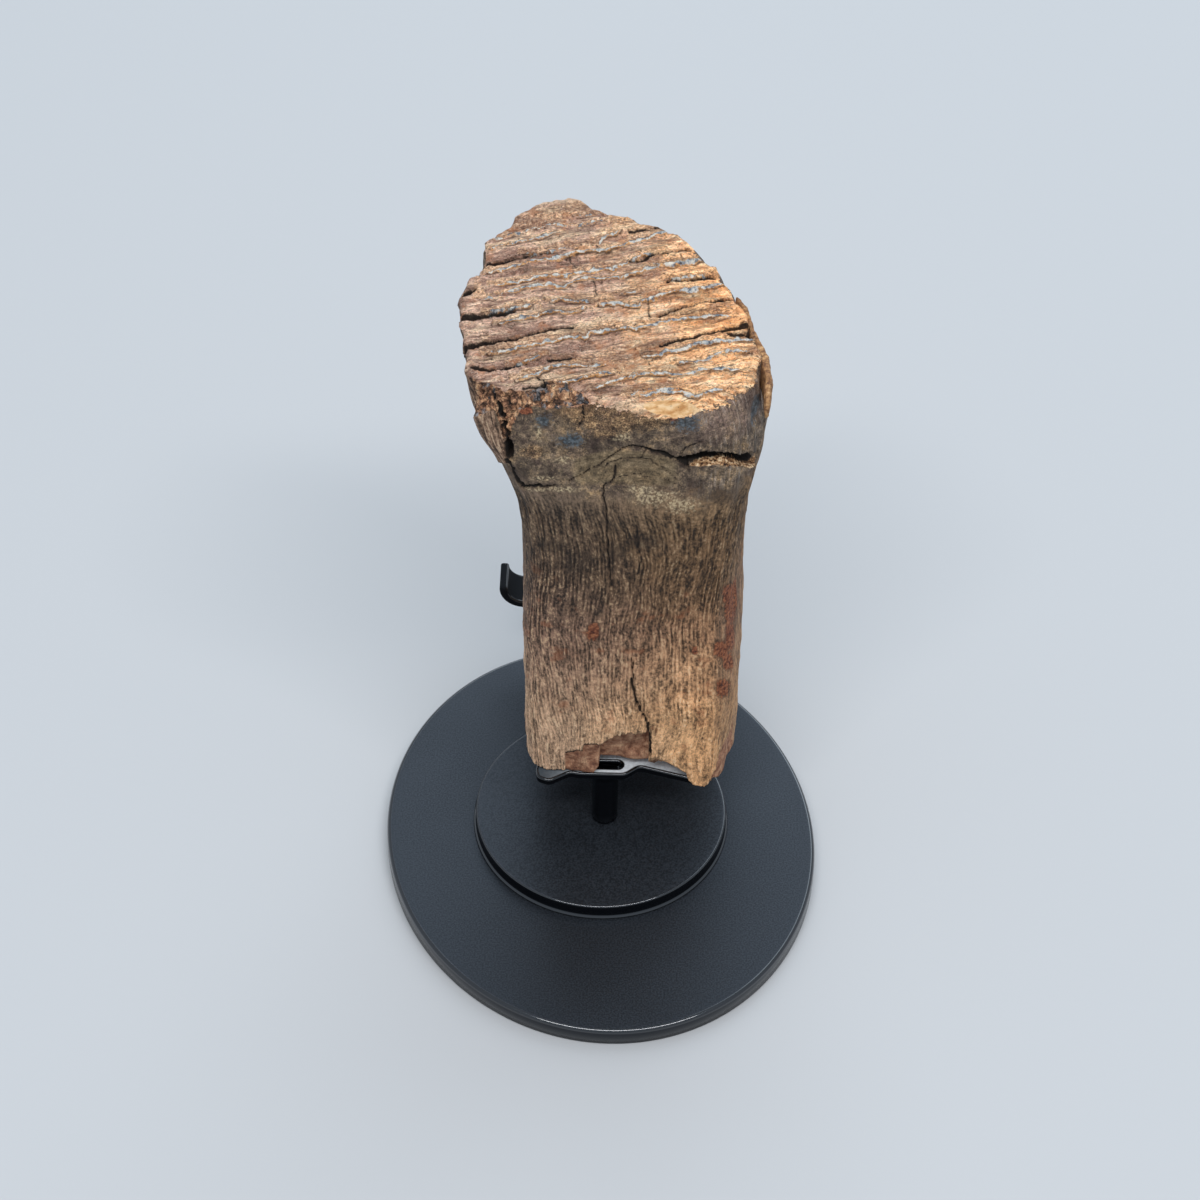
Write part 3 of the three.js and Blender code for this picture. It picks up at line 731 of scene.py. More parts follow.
def wallRelief(wall):  # the wall's points moved in and out, and a mask for each kind of mark
    shape = wall["points"].shape[:2]
    flat = wall["points"].reshape(-1, 3)
    out = wall["out"].reshape(-1, 2)
    front = wall["front"].ravel()
    x, y, z = flat.T
    sheet = onSheet(x, y, z)

    cut, edge = crackField(sheet, plateCracks, 1.0, tooth["seed"])
    cut *= front
    edge = np.where(front > 0.3, np.minimum(edge, 1.5), 1.5)
    gapCut, gapEdge, rise, ledge, bulge = gapRelief(sheet, y)
    footCut, footEdge, inner = footRelief(sheet, flat, front)
    cut = np.maximum(np.maximum(cut, gapCut), footCut)
    # edge: distance from the cracks, the gap and the broken foot edge, which the material paints near black
    # as painted shade
    edge = np.minimum(np.minimum(edge, gapEdge), footEdge)

    slab = slabMask(sheet, y)
    boss, bossPush, reach = bossRelief(sheet, front)
    flank = 1 - smoothStep(front, 0, 0.6)
    slit, flankPush = flankRelief(sheet, flat, out, np.repeat(wall["heights"], shape[1]), flank)
    crumb, leanBack = crumbRelief(sheet, y)
    push = bulge + leftSlab["proud"] * slab * (1 - smoothStep(sheet[:, 1], 212, 222)) + bossPush
    push = push + flankPush - leanBack
    nearRim = np.exp(-(occlusalZ(y) - z) / 2.0)
    push = push - nearRim * (0.5 + 0.7 * lumps(flat, 2.2, 57) + 0.5 * lumps(flat, 1.0, 58))

    moved = flat + np.column_stack([(push - cut)[:, None] * out, rise])
    masks = {"edge": edge, "inner": inner, "ledge": ledge, "crumb": crumb, "slit": slit, "boss": boss,
             "slab": slab, "ring": reach, "worn": np.clip(nearRim * 1.25 - 0.25, 0, 1)}
    for name, spots in patches.items():
        field = patchField(sheet, spots, 3 if name == "rust" else 2)
        masks[name] = np.where((front > 0.05) | (y < 8), field, -1.0)
    return moved.reshape(*shape, 3), masks


# distance to the nearest enamel edge, how strong it is, and the nearest before and behind
def enamelField(places):
    sideways = lumps(places, 2.4, 61) * 0.6
    shake = np.stack([sideways, lumps(places, 1.7, 62) * 0.6 + lumps(places, 5, 63) * 0.4], -1)
    shaken = places + shake
    enamel, strength = np.full(len(places), 9.0), np.zeros(len(places))
    north, south = np.full(len(places), 12.0), np.full(len(places), 12.0)
    for shows, path in enamelLines:
        distance, along = nearPath(shaken, path)
        taper = smoothStep(along, -0.02, 0.06) * (1 - smoothStep(along, 0.94, 1.02))
        strength = np.where(distance < enamel, shows * (0.5 + 0.5 * taper), strength)
        enamel = np.minimum(enamel, distance)
        lineX, lineY = np.array(path).T
        offset = np.interp(shaken[:, 0], lineX, lineY) - shaken[:, 1]
        covers = (shaken[:, 0] > lineX[0] - 3) & (shaken[:, 0] < lineX[-1] + 3)
        north = np.where(covers & (offset > 0), np.minimum(north, offset), north)
        south = np.where(covers & (offset <= 0), np.minimum(south, -offset), south)
    return enamel, strength, north, south


def topRelief(places, rimDistance):  # height above the worn plane, and the masks, at (x, y) places
    x, y = places.T
    enamel, strength, north, south = enamelField(places)
    cut, edge = crackField(places, topCracks, 0.8, tooth["seed"] + 20)
    phase = north / (north + south)  # 0 just in front of an enamel edge, 1 just behind the next
    dish = -0.55 * smoothStep(enamel, 0.5, 2.2) * (1 - smoothStep(phase, 0.4, 0.6))
    rough = 0.3 * lumps(places, 1.5, 64) * smoothStep(phase, 0.4, 0.65) + 0.5 * lumps(places, 13, 65)
    turned = places @ np.array([[0.98, -0.19], [0.19, 0.98]])
    layers = 0.3 * lumps(turned / (6.0, 1.0), 1.1, 66) + 0.4 * lumps(turned / (7.0, 1.0), 2.6, 68)
    (ovalX, ovalY), (ovalWide, ovalDeep) = tooth["ovalCentre"], tooth["ovalHalf"]
    fromOval = ((x - ovalX) / ovalWide) ** 2 + ((y - ovalY + 0.08 * (x - ovalX)) / ovalDeep) ** 2
    oval = 1 - smoothStep(fromOval, 0.7, 1.05)
    fromHump = (((places - tooth["humpCentre"]) / tooth["humpHalf"]) ** 2).sum(1)
    hump = tooth["humpHeight"] * np.exp(-fromHump)
    lipDrop = -0.9 * (1 - smoothStep(rimDistance, 0, 1.2)) ** 2
    past = np.interp(x, *np.array(crumbTop).T) + lumps(places, 2.2, 67) * 0.7 - y
    crumb = smoothStep(past, -0.4, 0.5) * (1 - smoothStep(np.abs(x + 27), 21, 22.5))
    relief = dish + rough + layers - cut - 0.5 * oval + hump + lipDrop
    relief = relief - crumb * (0.15 + np.clip(past, 0, 4) * 0.16)
    lip = np.where(north < south, np.exp(-north / 0.9) * strength, 0)
    return relief, {"enamel": enamel, "strength": strength, "phase": phase, "edge": np.minimum(edge, 1.5),
                    "lip": lip, "oval": oval, "crumb": crumb}


def insetGrid(rim, pitchX, pitchY, gap, seed):  # jittered points inside a ring, clear of it by gap
    low, high = rim.min(0), rim.max(0)
    xs, ys = np.arange(low[0], high[0], pitchX), np.arange(low[1], high[1], pitchY)
    gridX, gridY = np.meshgrid(xs, ys)
    gridX = gridX + (np.arange(len(ys)) % 2)[:, None] * pitchX / 2
    grid = np.stack([gridX.ravel(), gridY.ravel()], -1)
    grid = grid[insideOf(grid, rim)]
    random = np.random.default_rng(seed)
    grid = grid + random.uniform(-0.12, 0.12, grid.shape) * (pitchX, pitchY)
    distance, _ = nearPath(grid, np.concatenate([rim, rim[:1]]))
    keep = distance > gap
    return grid[keep], distance[keep]


# the slab of outer cement standing off the right of the crown: where it runs, and along that run
# (0 to 1) its half thickness, how far it stops short of the worn face, and its lower edge
flake = {
    "path": [(39, 39.8), (41.4, 36), (42.8, 31), (44.4, 26.8), (46.4, 21.6), (48, 15.6), (48.8, 9),
             (48.6, 2.6)],
    "thick": [(0, 0.5), (0.08, 1.0), (0.3, 1.3), (0.36, 0.8), (0.42, 1.4), (0.7, 1.5), (0.94, 1.2), (1, 0.7)],
    "short": [(0, 0.2), (0.34, 0.8), (0.38, 1.8), (0.8, 1.6), (1, 4.2)],
    "lowZ": [(0, 214), (0.3, 210), (0.7, 207), (1, 205.8)],
    "steps": 76, "around": 30, "roughness": 0.4,
}


def flakeSlab():  # rings of points along the flake
    path = np.array(flake["path"])
    t = np.linspace(0, 1, flake["steps"])
    line = np.stack([np.interp(t, np.linspace(0, 1, len(path)), path[:, i]) for i in (0, 1)], -1)
    line[1:-1] = (line[:-2] + line[1:-1] + line[2:]) / 3
    thick, short, lowZ = [np.interp(t, *np.array(flake[part]).T) for part in ("thick", "short", "lowZ")]
    topZ = occlusalZ(line[:, 1]) - short
    angle = np.linspace(0, 2 * math.pi, flake["around"], endpoint=False)
    along = np.gradient(line, axis=0)
    out = np.stack([-along[:, 1], along[:, 0]], -1)
    out /= np.linalg.norm(out, axis=1, keepdims=True)
    across, upward = [np.sign(v) * np.abs(v) ** 0.6 for v in (np.cos(angle), np.sin(angle))]  # a boxy section
    side = across[None, :] * thick[:, None]
    rise = (topZ + lowZ)[:, None] / 2 + upward[None, :] * (topZ - lowZ)[:, None] / 2
    ring = np.stack([line[:, :1] + out[:, :1] * side, line[:, 1:] + out[:, 1:] * side, rise], -1)
    flat = ring.reshape(-1, 3)
    shake = np.stack([lumps(flat, 3.5, seed) + 0.6 * lumps(flat, 1.3, seed + 5) for seed in (71, 72, 73)], -1)
    return (flat + shake * flake["roughness"]).reshape(*ring.shape)


wallMarks = ["edge", "inner", "ledge", "crumb", "slit", "boss", "slab", "ring", "worn", *patches]
topMarks = ["enamel", "strength", "phase", "lip", "oval"]


# the masks, as attributes of the points
def storeMarks(piece, wallMasks, rimMasks, innerMasks, columns, spare):
    wallCount, innerCount = len(wallMasks["edge"]), len(innerMasks["edge"])
    quiet = {"edge": 1.5, "enamel": 9.0, **{name: -1.0 for name in patches}}
    for name in wallMarks + topMarks:
        rest = quiet.get(name, 0.0)
        onWall = wallMasks.get(name, np.full(wallCount, rest)).copy()
        if name == "worn":
            onWall[-columns:] = 1
        if name == "crumb":
            onWall[-columns:] = np.maximum(onWall[-columns:], rimMasks[name])
        elif name in rimMasks:
            onWall[-columns:] = rimMasks[name]
        onTop = innerMasks.get(name, np.full(innerCount, 1.0 if name == "worn" else rest))
        store(piece, name, [onWall, onTop, np.full(spare, rest)])


def wrapRibs(piece, wall, wallFaces, columns):  # a map that counts ribs round the root and closes on itself
    around = wall["around"].ravel()[wallFaces]
    last = np.arange(len(wallFaces)) % columns == columns - 1
    around[last, 1:3] = wall["ribs"]
    heights = wall["points"][..., 2].ravel()[wallFaces] / 100
    layer = piece.data.uv_layers.new(name="roots")
    places = np.zeros((len(layer.data), 2), np.float32)
    places[:around.size] = np.stack([around.ravel(), heights.ravel()], -1)
    layer.data.foreach_set("uv", places.ravel())


def underside(footPlan, edgeZ):  # points that fill the foot, hollowed towards its middle
    under, distance = insetGrid(footPlan, tooth["underPitch"], tooth["underPitch"], 0.8, 6)
    nearest = np.array([np.argmin(((footPlan - p) ** 2).sum(1)) for p in under])
    hollow = (edgeZ[nearest] - tooth["footZ"]) * np.exp(-distance / 6)
    z = tooth["footZ"] + hollow + 0.35 + 0.3 * lumps(under, 6, 81)
    return under, np.column_stack([under, np.maximum(z, tooth["footZ"])])


def toothMesh(material):
    wall = toothWall()
    wallPoints, wallMasks = wallRelief(wall)
    rows, columns = wallPoints.shape[:2]
    rimPlan, footPlan = wallPoints[-1, :, :2], wallPoints[0, :, :2]
    rimRelief, rimMasks = topRelief(rimPlan, np.zeros(columns))
    wallPoints[-1, :, 2] = occlusalZ(rimPlan[:, 1]) + rimRelief
    drop = np.clip(rimRelief, -4, 1)[None, :] * np.exp((wall["heights"][-12:-1, None] - 1) / 0.01)
    wallPoints[-12:-1, :, 2] += drop
    inner, rimDistance = insetGrid(rimPlan, *tooth["topPitch"], 0.3, 5)
    relief, innerMasks = topRelief(inner, rimDistance)
    innerPoints = np.column_stack([inner, occlusalZ(inner[:, 1]) + relief])
    under, underPoints = underside(footPlan, wallPoints[0, :, 2])
    slabPoints, slabFaces = closeTurned(flakeSlab())

    # wall, worn face, underside and flake, in that order
    wallCount, innerCount, underCount, slabCount = rows * columns, len(inner), len(under), len(slabPoints)
    wallFaces = gridFaces(rows, columns)
    topIds = np.concatenate([np.arange(columns) + (rows - 1) * columns, wallCount + np.arange(innerCount)])
    faces = wallFaces + topIds[fillOutline(rimPlan, inner)].tolist()
    underIds = np.concatenate([np.arange(columns), wallCount + innerCount + np.arange(underCount)])
    faces += underIds[fillOutline(footPlan, under)][:, ::-1].tolist()
    slabStart = wallCount + innerCount + underCount
    faces += [[i + slabStart for i in face] for face in slabFaces]
    points = np.concatenate([wallPoints.reshape(-1, 3), innerPoints, underPoints, slabPoints])
    piece = newPiece("molar", points, faces, material)

    storeMarks(piece, wallMasks, rimMasks, innerMasks, columns, underCount + slabCount)
    beyondWall = np.zeros(innerCount + underCount + slabCount)
    store(piece, "front", [wall["front"].ravel(), beyondWall])
    store(piece, "under", [np.zeros(wallCount + innerCount), np.ones(underCount), np.zeros(slabCount)])
    store(piece, "flake", [np.zeros(slabStart), np.ones(slabCount)])
    store(piece, "around", [wall["around"].ravel(), beyondWall])
    store(piece, "shaft", [np.ones(wallCount), beyondWall])
    fibres = [wall["grain"].reshape(-1, 3), innerPoints, underPoints, slabPoints]
    store(piece, "grain", fibres, "FLOAT_VECTOR", "vector")
    wrapRibs(piece, wall, np.array(wallFaces), columns)
    applyTree(piece, toothRelief(), material)
    print(f"molar: {len(points)} points, {len(faces)} faces")
    return piece


def ribWave(b, around, grain, spacing):  # 0 in the grooves that run down the root, 1 on the ribs between
    x, y, z = b.parts(grain)
    slant = b.fade(x, 2, -20, 0, 0.09) * (z - 112) * b.fade(z, 150, 128) * b.fade(y, 30, 5)
    slow = swing(b.streaks(grain, (0.02, 0.02, 0.02), 2, 0.5), 8)
    quick = swing(b.streaks(grain, (0.2, 0.2, 0.05), 2, 0.5), 1.1)
    drift = slant / spacing + slow + quick
    wave = b.run("SINE", (around + drift) * (2 * math.pi))
    shifted = b.joined(x + drift * spacing, y + drift * spacing * 0.4, z)
    strand = swing(b.streaks(shifted, (0.85, 0.85, 0.085), 2.0), 4.2)
    broken = swing(b.streaks(shifted, (0.55, 0.55, 0.2), 3, 0.62), 3.4)
    plain = b.fade(b.streaks(grain, (0.09, 0.09, 0.04), 3, 0.6), 0.4, 0.6, 0.35, 1.0)
    wave = (wave * 0.42 + strand) * plain + broken
    return b.fade(wave, -1.0, 1.0), drift * spacing


# inputs of the relief tree, in millimetres
reliefSizes = {
    "Rib Depth": 0.42, "Rib Spacing": tooth["ribSpacing"], "Enamel Height": 0.45, "Face Roughness": 0.6,
    "Chunk Size": 3.3, "Chunk Height": 1.6, "Shelf Roughness": 1.1, "Seed": 4,
}


def toothRelief():  # node tree: ribs on the root, enamel edges on the worn face, rubble where it broke
    tree = bpy.data.node_groups.new("toothRelief", "GeometryNodeTree")
    face = tree.interface
    face.new_socket("Geometry", in_out="INPUT", socket_type="NodeSocketGeometry")
    for name in reliefSizes:
        face.new_socket(name, in_out="INPUT", socket_type="NodeSocketFloat")
    face.new_socket("Material", in_out="INPUT", socket_type="NodeSocketMaterial")
    face.new_socket("Geometry", in_out="OUTPUT", socket_type="NodeSocketGeometry")
    b = Bench(tree)
    entry = b.node("NodeGroupInput").socket.node
    given = {name: Wire(b, entry.outputs[name]) for name in ["Geometry", *reliefSizes, "Material"]}
    grain = b.stored("grain", "FLOAT_VECTOR")
    at = b.scaled(b.node("GeometryNodeInputPosition"), 1 / mm, 1 / mm, 1 / mm)
    seeded = b.shifted(at, b.joined(given["Seed"], 0.0, 0.0))

    z = b.parts(grain)[2]
    rib, _ = ribWave(b, b.stored("around"), grain, given["Rib Spacing"])
    wander = b.noise(seeded, 0.07, 2)
    ribbed = b.stored("shaft") * b.fade(z + wander * 14, 187, 177) * b.fade(b.stored("inner"), 0.4, 0.1)
    height = (rib - 1.0) * given["Rib Depth"] * ribbed

    ragged = b.noise(seeded, 0.8, 3, 0.6) - 0.5
    burr = b.noise(seeded, 1.6, 2, 0.6) - 0.5
    beaded = b.fade(b.noise(seeded, 0.32, 2), 0.3, 0.6, 0.35, 1.0)
    ridge = b.fade(b.stored("enamel") + ragged * 1.2 + burr * 1.4, 0.75, 0.15) * b.stored("strength") * beaded
    height = height + ridge * given["Enamel Height"]
    crumbling = b.fade(b.stored("phase"), 0.4, 0.8, 0.25, 1.0)
    height = height + b.stored("worn") * ragged * crumbling * given["Face Roughness"]

    bent = b.shifted(seeded, b.times(b.noise(seeded, 0.5, 2, 0.5, 0.0, 1), 1.6))
    chunk = b.fade(b.cells(bent, 1 / given["Chunk Size"]), 0.02, 0.3, -0.5, 0.3)
    height = height + (chunk + ragged * 1.8) * b.stored("crumb") * given["Chunk Height"]
    grit = b.noise(seeded, 1.1, 3, 0.65) - 0.5
    height = height + grit * b.stored("ledge") * given["Shelf Roughness"]
    height = height + grit * b.stored("inner") * given["Shelf Roughness"] * 0.4
    height = height + grit * b.stored("flake") * 0.5

    offset = b.times(b.node("GeometryNodeInputNormal"), height * mm)
    moved = b.node("GeometryNodeSetPosition", {}, {"Geometry": given["Geometry"], "Offset": offset})
    whole = b.node("GeometryNodeRealizeInstances", {}, {"Geometry": moved})
    dressed = b.node("GeometryNodeSetMaterial", {}, {"Geometry": whole, "Material": given["Material"]})
    b.node("NodeGroupOutput", {}, {"Geometry": dressed})
    return tree


def applyTree(piece, tree, material):  # run the tree once and keep its result as a plain mesh
    modifier = piece.modifiers.new("relief", "NODES")
    modifier.node_group = tree
    for item in tree.interface.items_tree:
        if item.in_out == "INPUT" and item.name in reliefSizes:
            modifier[item.identifier] = float(reliefSizes[item.name])
        if item.in_out == "INPUT" and item.name == "Material":
            modifier[item.identifier] = material
    ready = piece.evaluated_get(bpy.context.evaluated_depsgraph_get())
    mesh = bpy.data.meshes.new_from_object(ready)
    piece.modifiers.remove(modifier)
    old = piece.data
    piece.data = mesh
    bpy.data.meshes.remove(old)
    mesh.name = piece.name


# colours of the root, from foot to neck, and of the flecks between its ribs
rootColours = {
    "hide": [(0.0, "#e6bd98"), (0.16, "#ddb590"), (0.28, "#c09a7c"), (0.4, "#967660"), (0.52, "#6f5845"),
             (0.68, "#6d5844"), (0.76, "#766350"), (0.84, "#6f6056"), (1.0, "#6f6056")],
    "fleck": [(0.1, "#f6d8b0"), (0.4, "#cfae88"), (0.7, "#a08a6c")],
    "leftTint": "#e0dfe2", "rightTint": "#fff2dc", "grooveShade": "#2b211c", "ruddy": "#a5633f",
    "honey": "#ffe3c8", "flank": "#75604f",
}


def rootColour(b, at, grain, around):
    x, _, z = b.parts(at)
    grainX, grainY, grainZ = b.parts(grain)
    rib, drift = ribWave(b, around, grain, tooth["ribSpacing"])
    bent = b.joined(grainX + drift, grainY + drift * 0.4, grainZ)
    fine = b.streaks(bent, (2.6, 2.6, 0.2), 3, 0.6)
    blotch = b.noise(at, 0.075, 3)
    middling = b.streaks(bent, (0.32, 0.32, 0.07), 3, 0.6)
    speck = b.streaks(bent, (1.2, 1.2, 0.7), 4, 0.72)
    uneven = x + swing(blotch, 30)
    level = (z + swing(blotch, 40) + swing(middling, 24) - 44) / 180
    hide = b.ramp(level, rootColours["hide"])
    tint = b.mix(b.fade(uneven, -18, 34), rootColours["leftTint"], rootColours["rightTint"])
    hide = b.mix(1.0, hide, tint, "MULTIPLY")
    hide = b.times(hide, b.fade(uneven, 0, 26) * b.fade(z, 90, 120, -0.02, 0.1) + 1)

    # light and dark threads, strongest at the neck; the ribs are painted lighter and the grooves between them
    # darker, as painted light and shade of the ribs
    ribbed = b.fade(z + swing(blotch, 14), 182, 172)
    ribTone = b.fade(rib, 0.1, 0.95, -0.58, 0.34) * b.fade(z, 60, 125, 0.6, 1.0)
    tone = ribTone * ribbed + b.fade(fine, 0.32, 0.68, -0.14, 0.14)
    tone = tone + b.fade(speck, 0.35, 0.65, -0.5, 0.55) * b.fade(z, 60, 125, 0.75, 1.0)
    tone = tone + b.fade(middling, 0.32, 0.68, -0.32, 0.32)
    hide = b.times(hide, b.run("MAXIMUM", tone + 1.06, 0.16))
    bright = b.fade(speck + swing(rib, 0.22), 0.6, 0.68) * ribbed
    hide = b.mix(bright * 0.7, hide, b.ramp(level, rootColours["fleck"]))
    # painted shade: dark colour down the grooves between the ribs
    grooveShade = b.fade(b.streaks(bent, (0.8, 0.8, 0.3), 3, 0.7), 0.42, 0.34) * b.fade(rib, 0.8, 0.2)
    hide = b.mix(grooveShade * b.fade(z, 60, 125, 0.15, 0.4), hide, rootColours["grooveShade"])

    # broad tints: ruddy blotches, honey at the lower right, and painted shade on the right flank where it
    # turns away from the light
    ruddy = b.fade(b.noise(b.shifted(at, (40, 0, 0)), 0.13, 3, 0.6), 0.58, 0.7) * b.fade(z, 150, 130)
    hide = b.mix(ruddy * 0.4, hide, rootColours["ruddy"])
    hide = b.mix(b.fade(uneven, 16, 40) * b.fade(z, 120, 70) * 0.25, hide, rootColours["honey"], "MULTIPLY")
    # painted shade: the right flank darkened and greyed low on the root
    flank = b.fade(x + swing(blotch, 8) + swing(middling, 6), 35, 41) * b.fade(z, 140, 110)
    hide = b.mix(flank * 0.45, hide, rootColours["flank"])
    return hide, rib, fine, speck, ribbed


# colours of the smoother side of the crown, with its stains
crownColours = {
    "side": [(0.38, "#382c24"), (0.45, "#594a3e"), (0.51, "#70604f"), (0.57, "#8a735a"), (0.64, "#b7976e")],
    "olive": [(0.4, "#2c2118"), (0.47, "#5a4430"), (0.54, "#856648"), (0.63, "#c4a479")],
    "boss": [(0.4, "#3b3124"), (0.48, "#65563f"), (0.56, "#85745a"), (0.66, "#b09b7a")],
    "right": "#92786c", "warm": "#8a6239", "paleStreak": "#a3968a", "darkStreak": "#332823",
    "stain": "#463732", "scabEdge": "#b79c78", "hair": "#c0a27a", "seam": "#2c211a",
}


def crownColour(b, at, grain, marks, hide):
    x, _, z = b.parts(at)
    cloud = b.noise(at, 0.15, 5, 0.65)
    patchy = b.noise(b.shifted(at, (31, 7, 3)), 0.42, 5, 0.66)
    grit = b.noise(at, 0.85, 5, 0.68)
    fine = b.noise(at, 2.2, 4, 0.65)
    side = b.ramp(cloud * 0.6 + patchy * 0.4, crownColours["side"])
    right = b.fade(x + swing(cloud, 40), 12, 34) * b.fade(z, 200, 206)
    side = b.mix(right * 0.45, side, crownColours["right"])
    warm = b.fade(x + swing(patchy, 40), 16, 2) * b.fade(x + swing(patchy, 30), -22, -12)
    warm = warm * b.fade(z, 206, 214)
    side = b.mix(warm * 0.5, side, crownColours["warm"])
    olive = b.fade(marks["olive"] + swing(patchy, 2.2) + swing(grit, 0.5), -0.1, 0.5)
    side = b.mix(olive * 0.8, side, b.ramp(patchy * 0.5 + fine * 0.5, crownColours["olive"]))
    streaks = b.streaks(grain, (1.6, 1.6, 0.1), 4, 0.65)
    streaky = b.fade(x + swing(cloud, 30), 20, 36)
    side = b.mix(streaky * b.fade(streaks, 0.5, 0.64) * 0.5, side, crownColours["paleStreak"])
    side = b.mix(streaky * b.fade(streaks, 0.45, 0.36) * 0.6, side, crownColours["darkStreak"])
    stain = b.fade(b.noise(b.shifted(at, (0, 90, 0)), 0.1, 4, 0.68), 0.5, 0.4)
    side = b.mix(stain * 0.45, side, crownColours["stain"])

    # scabs with a pale edge, grit, pale hairs and dark seams
    scabs = b.noise(b.shifted(at, (0, 0, 33)), 0.13, 6, 0.62)
    side = b.times(side, b.fade(scabs, 0.485, 0.52, 0.84, 1.14))
    scabEdge = b.contour(scabs, 0.006, 0.503) * b.fade(grit, 0.45, 0.58)
    side = b.mix(scabEdge * 0.5, side, crownColours["scabEdge"])
    side = b.times(side, b.fade(grit, 0.34, 0.66, 0.6, 1.36) * b.fade(fine, 0.32, 0.68, 0.64, 1.36))
    hair = b.contour(b.noise(b.scaled(at, 1.0, 1.0, 0.5), 0.4, 5, 0.7), 0.016)
    hair = hair * b.fade(cloud, 0.42, 0.56) * b.fade(fine, 0.42, 0.56)
    side = b.mix(hair * 0.75, side, crownColours["hair"])
    seam = b.contour(b.noise(b.shifted(b.scaled(at, 1.0, 1.0, 0.7), (70, 0, 0)), 0.22, 4, 0.65), 0.007)
    side = b.mix(seam * b.fade(z, 206, 199) * 0.7, side, crownColours["seam"])

    arcs = b.noise(b.joined(marks["ring"] * 0.55, x * 0.12, z * 0.12), 1.0, 5, 0.7)
    boss = b.ramp(arcs * 0.35 + patchy * 0.4 + fine * 0.25, crownColours["boss"])
    side = b.mix(b.fade(marks["boss"] + swing(grit, 0.8), 0.1, 0.9) * 0.75, side, boss)
    return b.mix(b.fade(z + swing(cloud, 20), 180, 187), hide, side), grit, fine


# colours of the chewing surface: streaked cement with edges of enamel
wornColours = {
    "mauve": [(0.3, "#6d5146"), (0.4, "#a88470"), (0.5, "#cfa690"), (0.6, "#e8c2a4"), (0.72, "#fbe0c6")],
    "orange": [(0.28, "#9a6742"), (0.4, "#db9d69"), (0.5, "#fac08a"), (0.6, "#ffdaab"), (0.72, "#fff0d2")],
    "crumbly": [(0.36, "#6f4a31"), (0.45, "#c18c60"), (0.54, "#edbd8a"), (0.66, "#ffe3bf")],
    "lip": [(0.38, "#9a6435"), (0.5, "#e2a567"), (0.6, "#fbcd94")],
    "enamel": [(0.34, "#36434f"), (0.42, "#7f8d98"), (0.47, "#b9c1c4"), (0.54, "#e4e0d6"), (0.65, "#fff6e8")],
    "oval": [(0.36, "#cd9258"), (0.5, "#eebd84"), (0.62, "#fdd8a8")],
    "darkBand": "#7c5546", "paleBand": "#fbdcb4", "cream": "#fff4e8", "paleSand": "#fff0dc",
    "darkSand": "#54392a", "hollow": "#3a261a", "gloom": "#5c4033", "rosy": "#c07a4c",
    "paintedSheen": "#e9caa9", "shadow": "#432c1f",
    "rimBackShade": "#6a4f3a", "rimFront": "#dc9850",
}


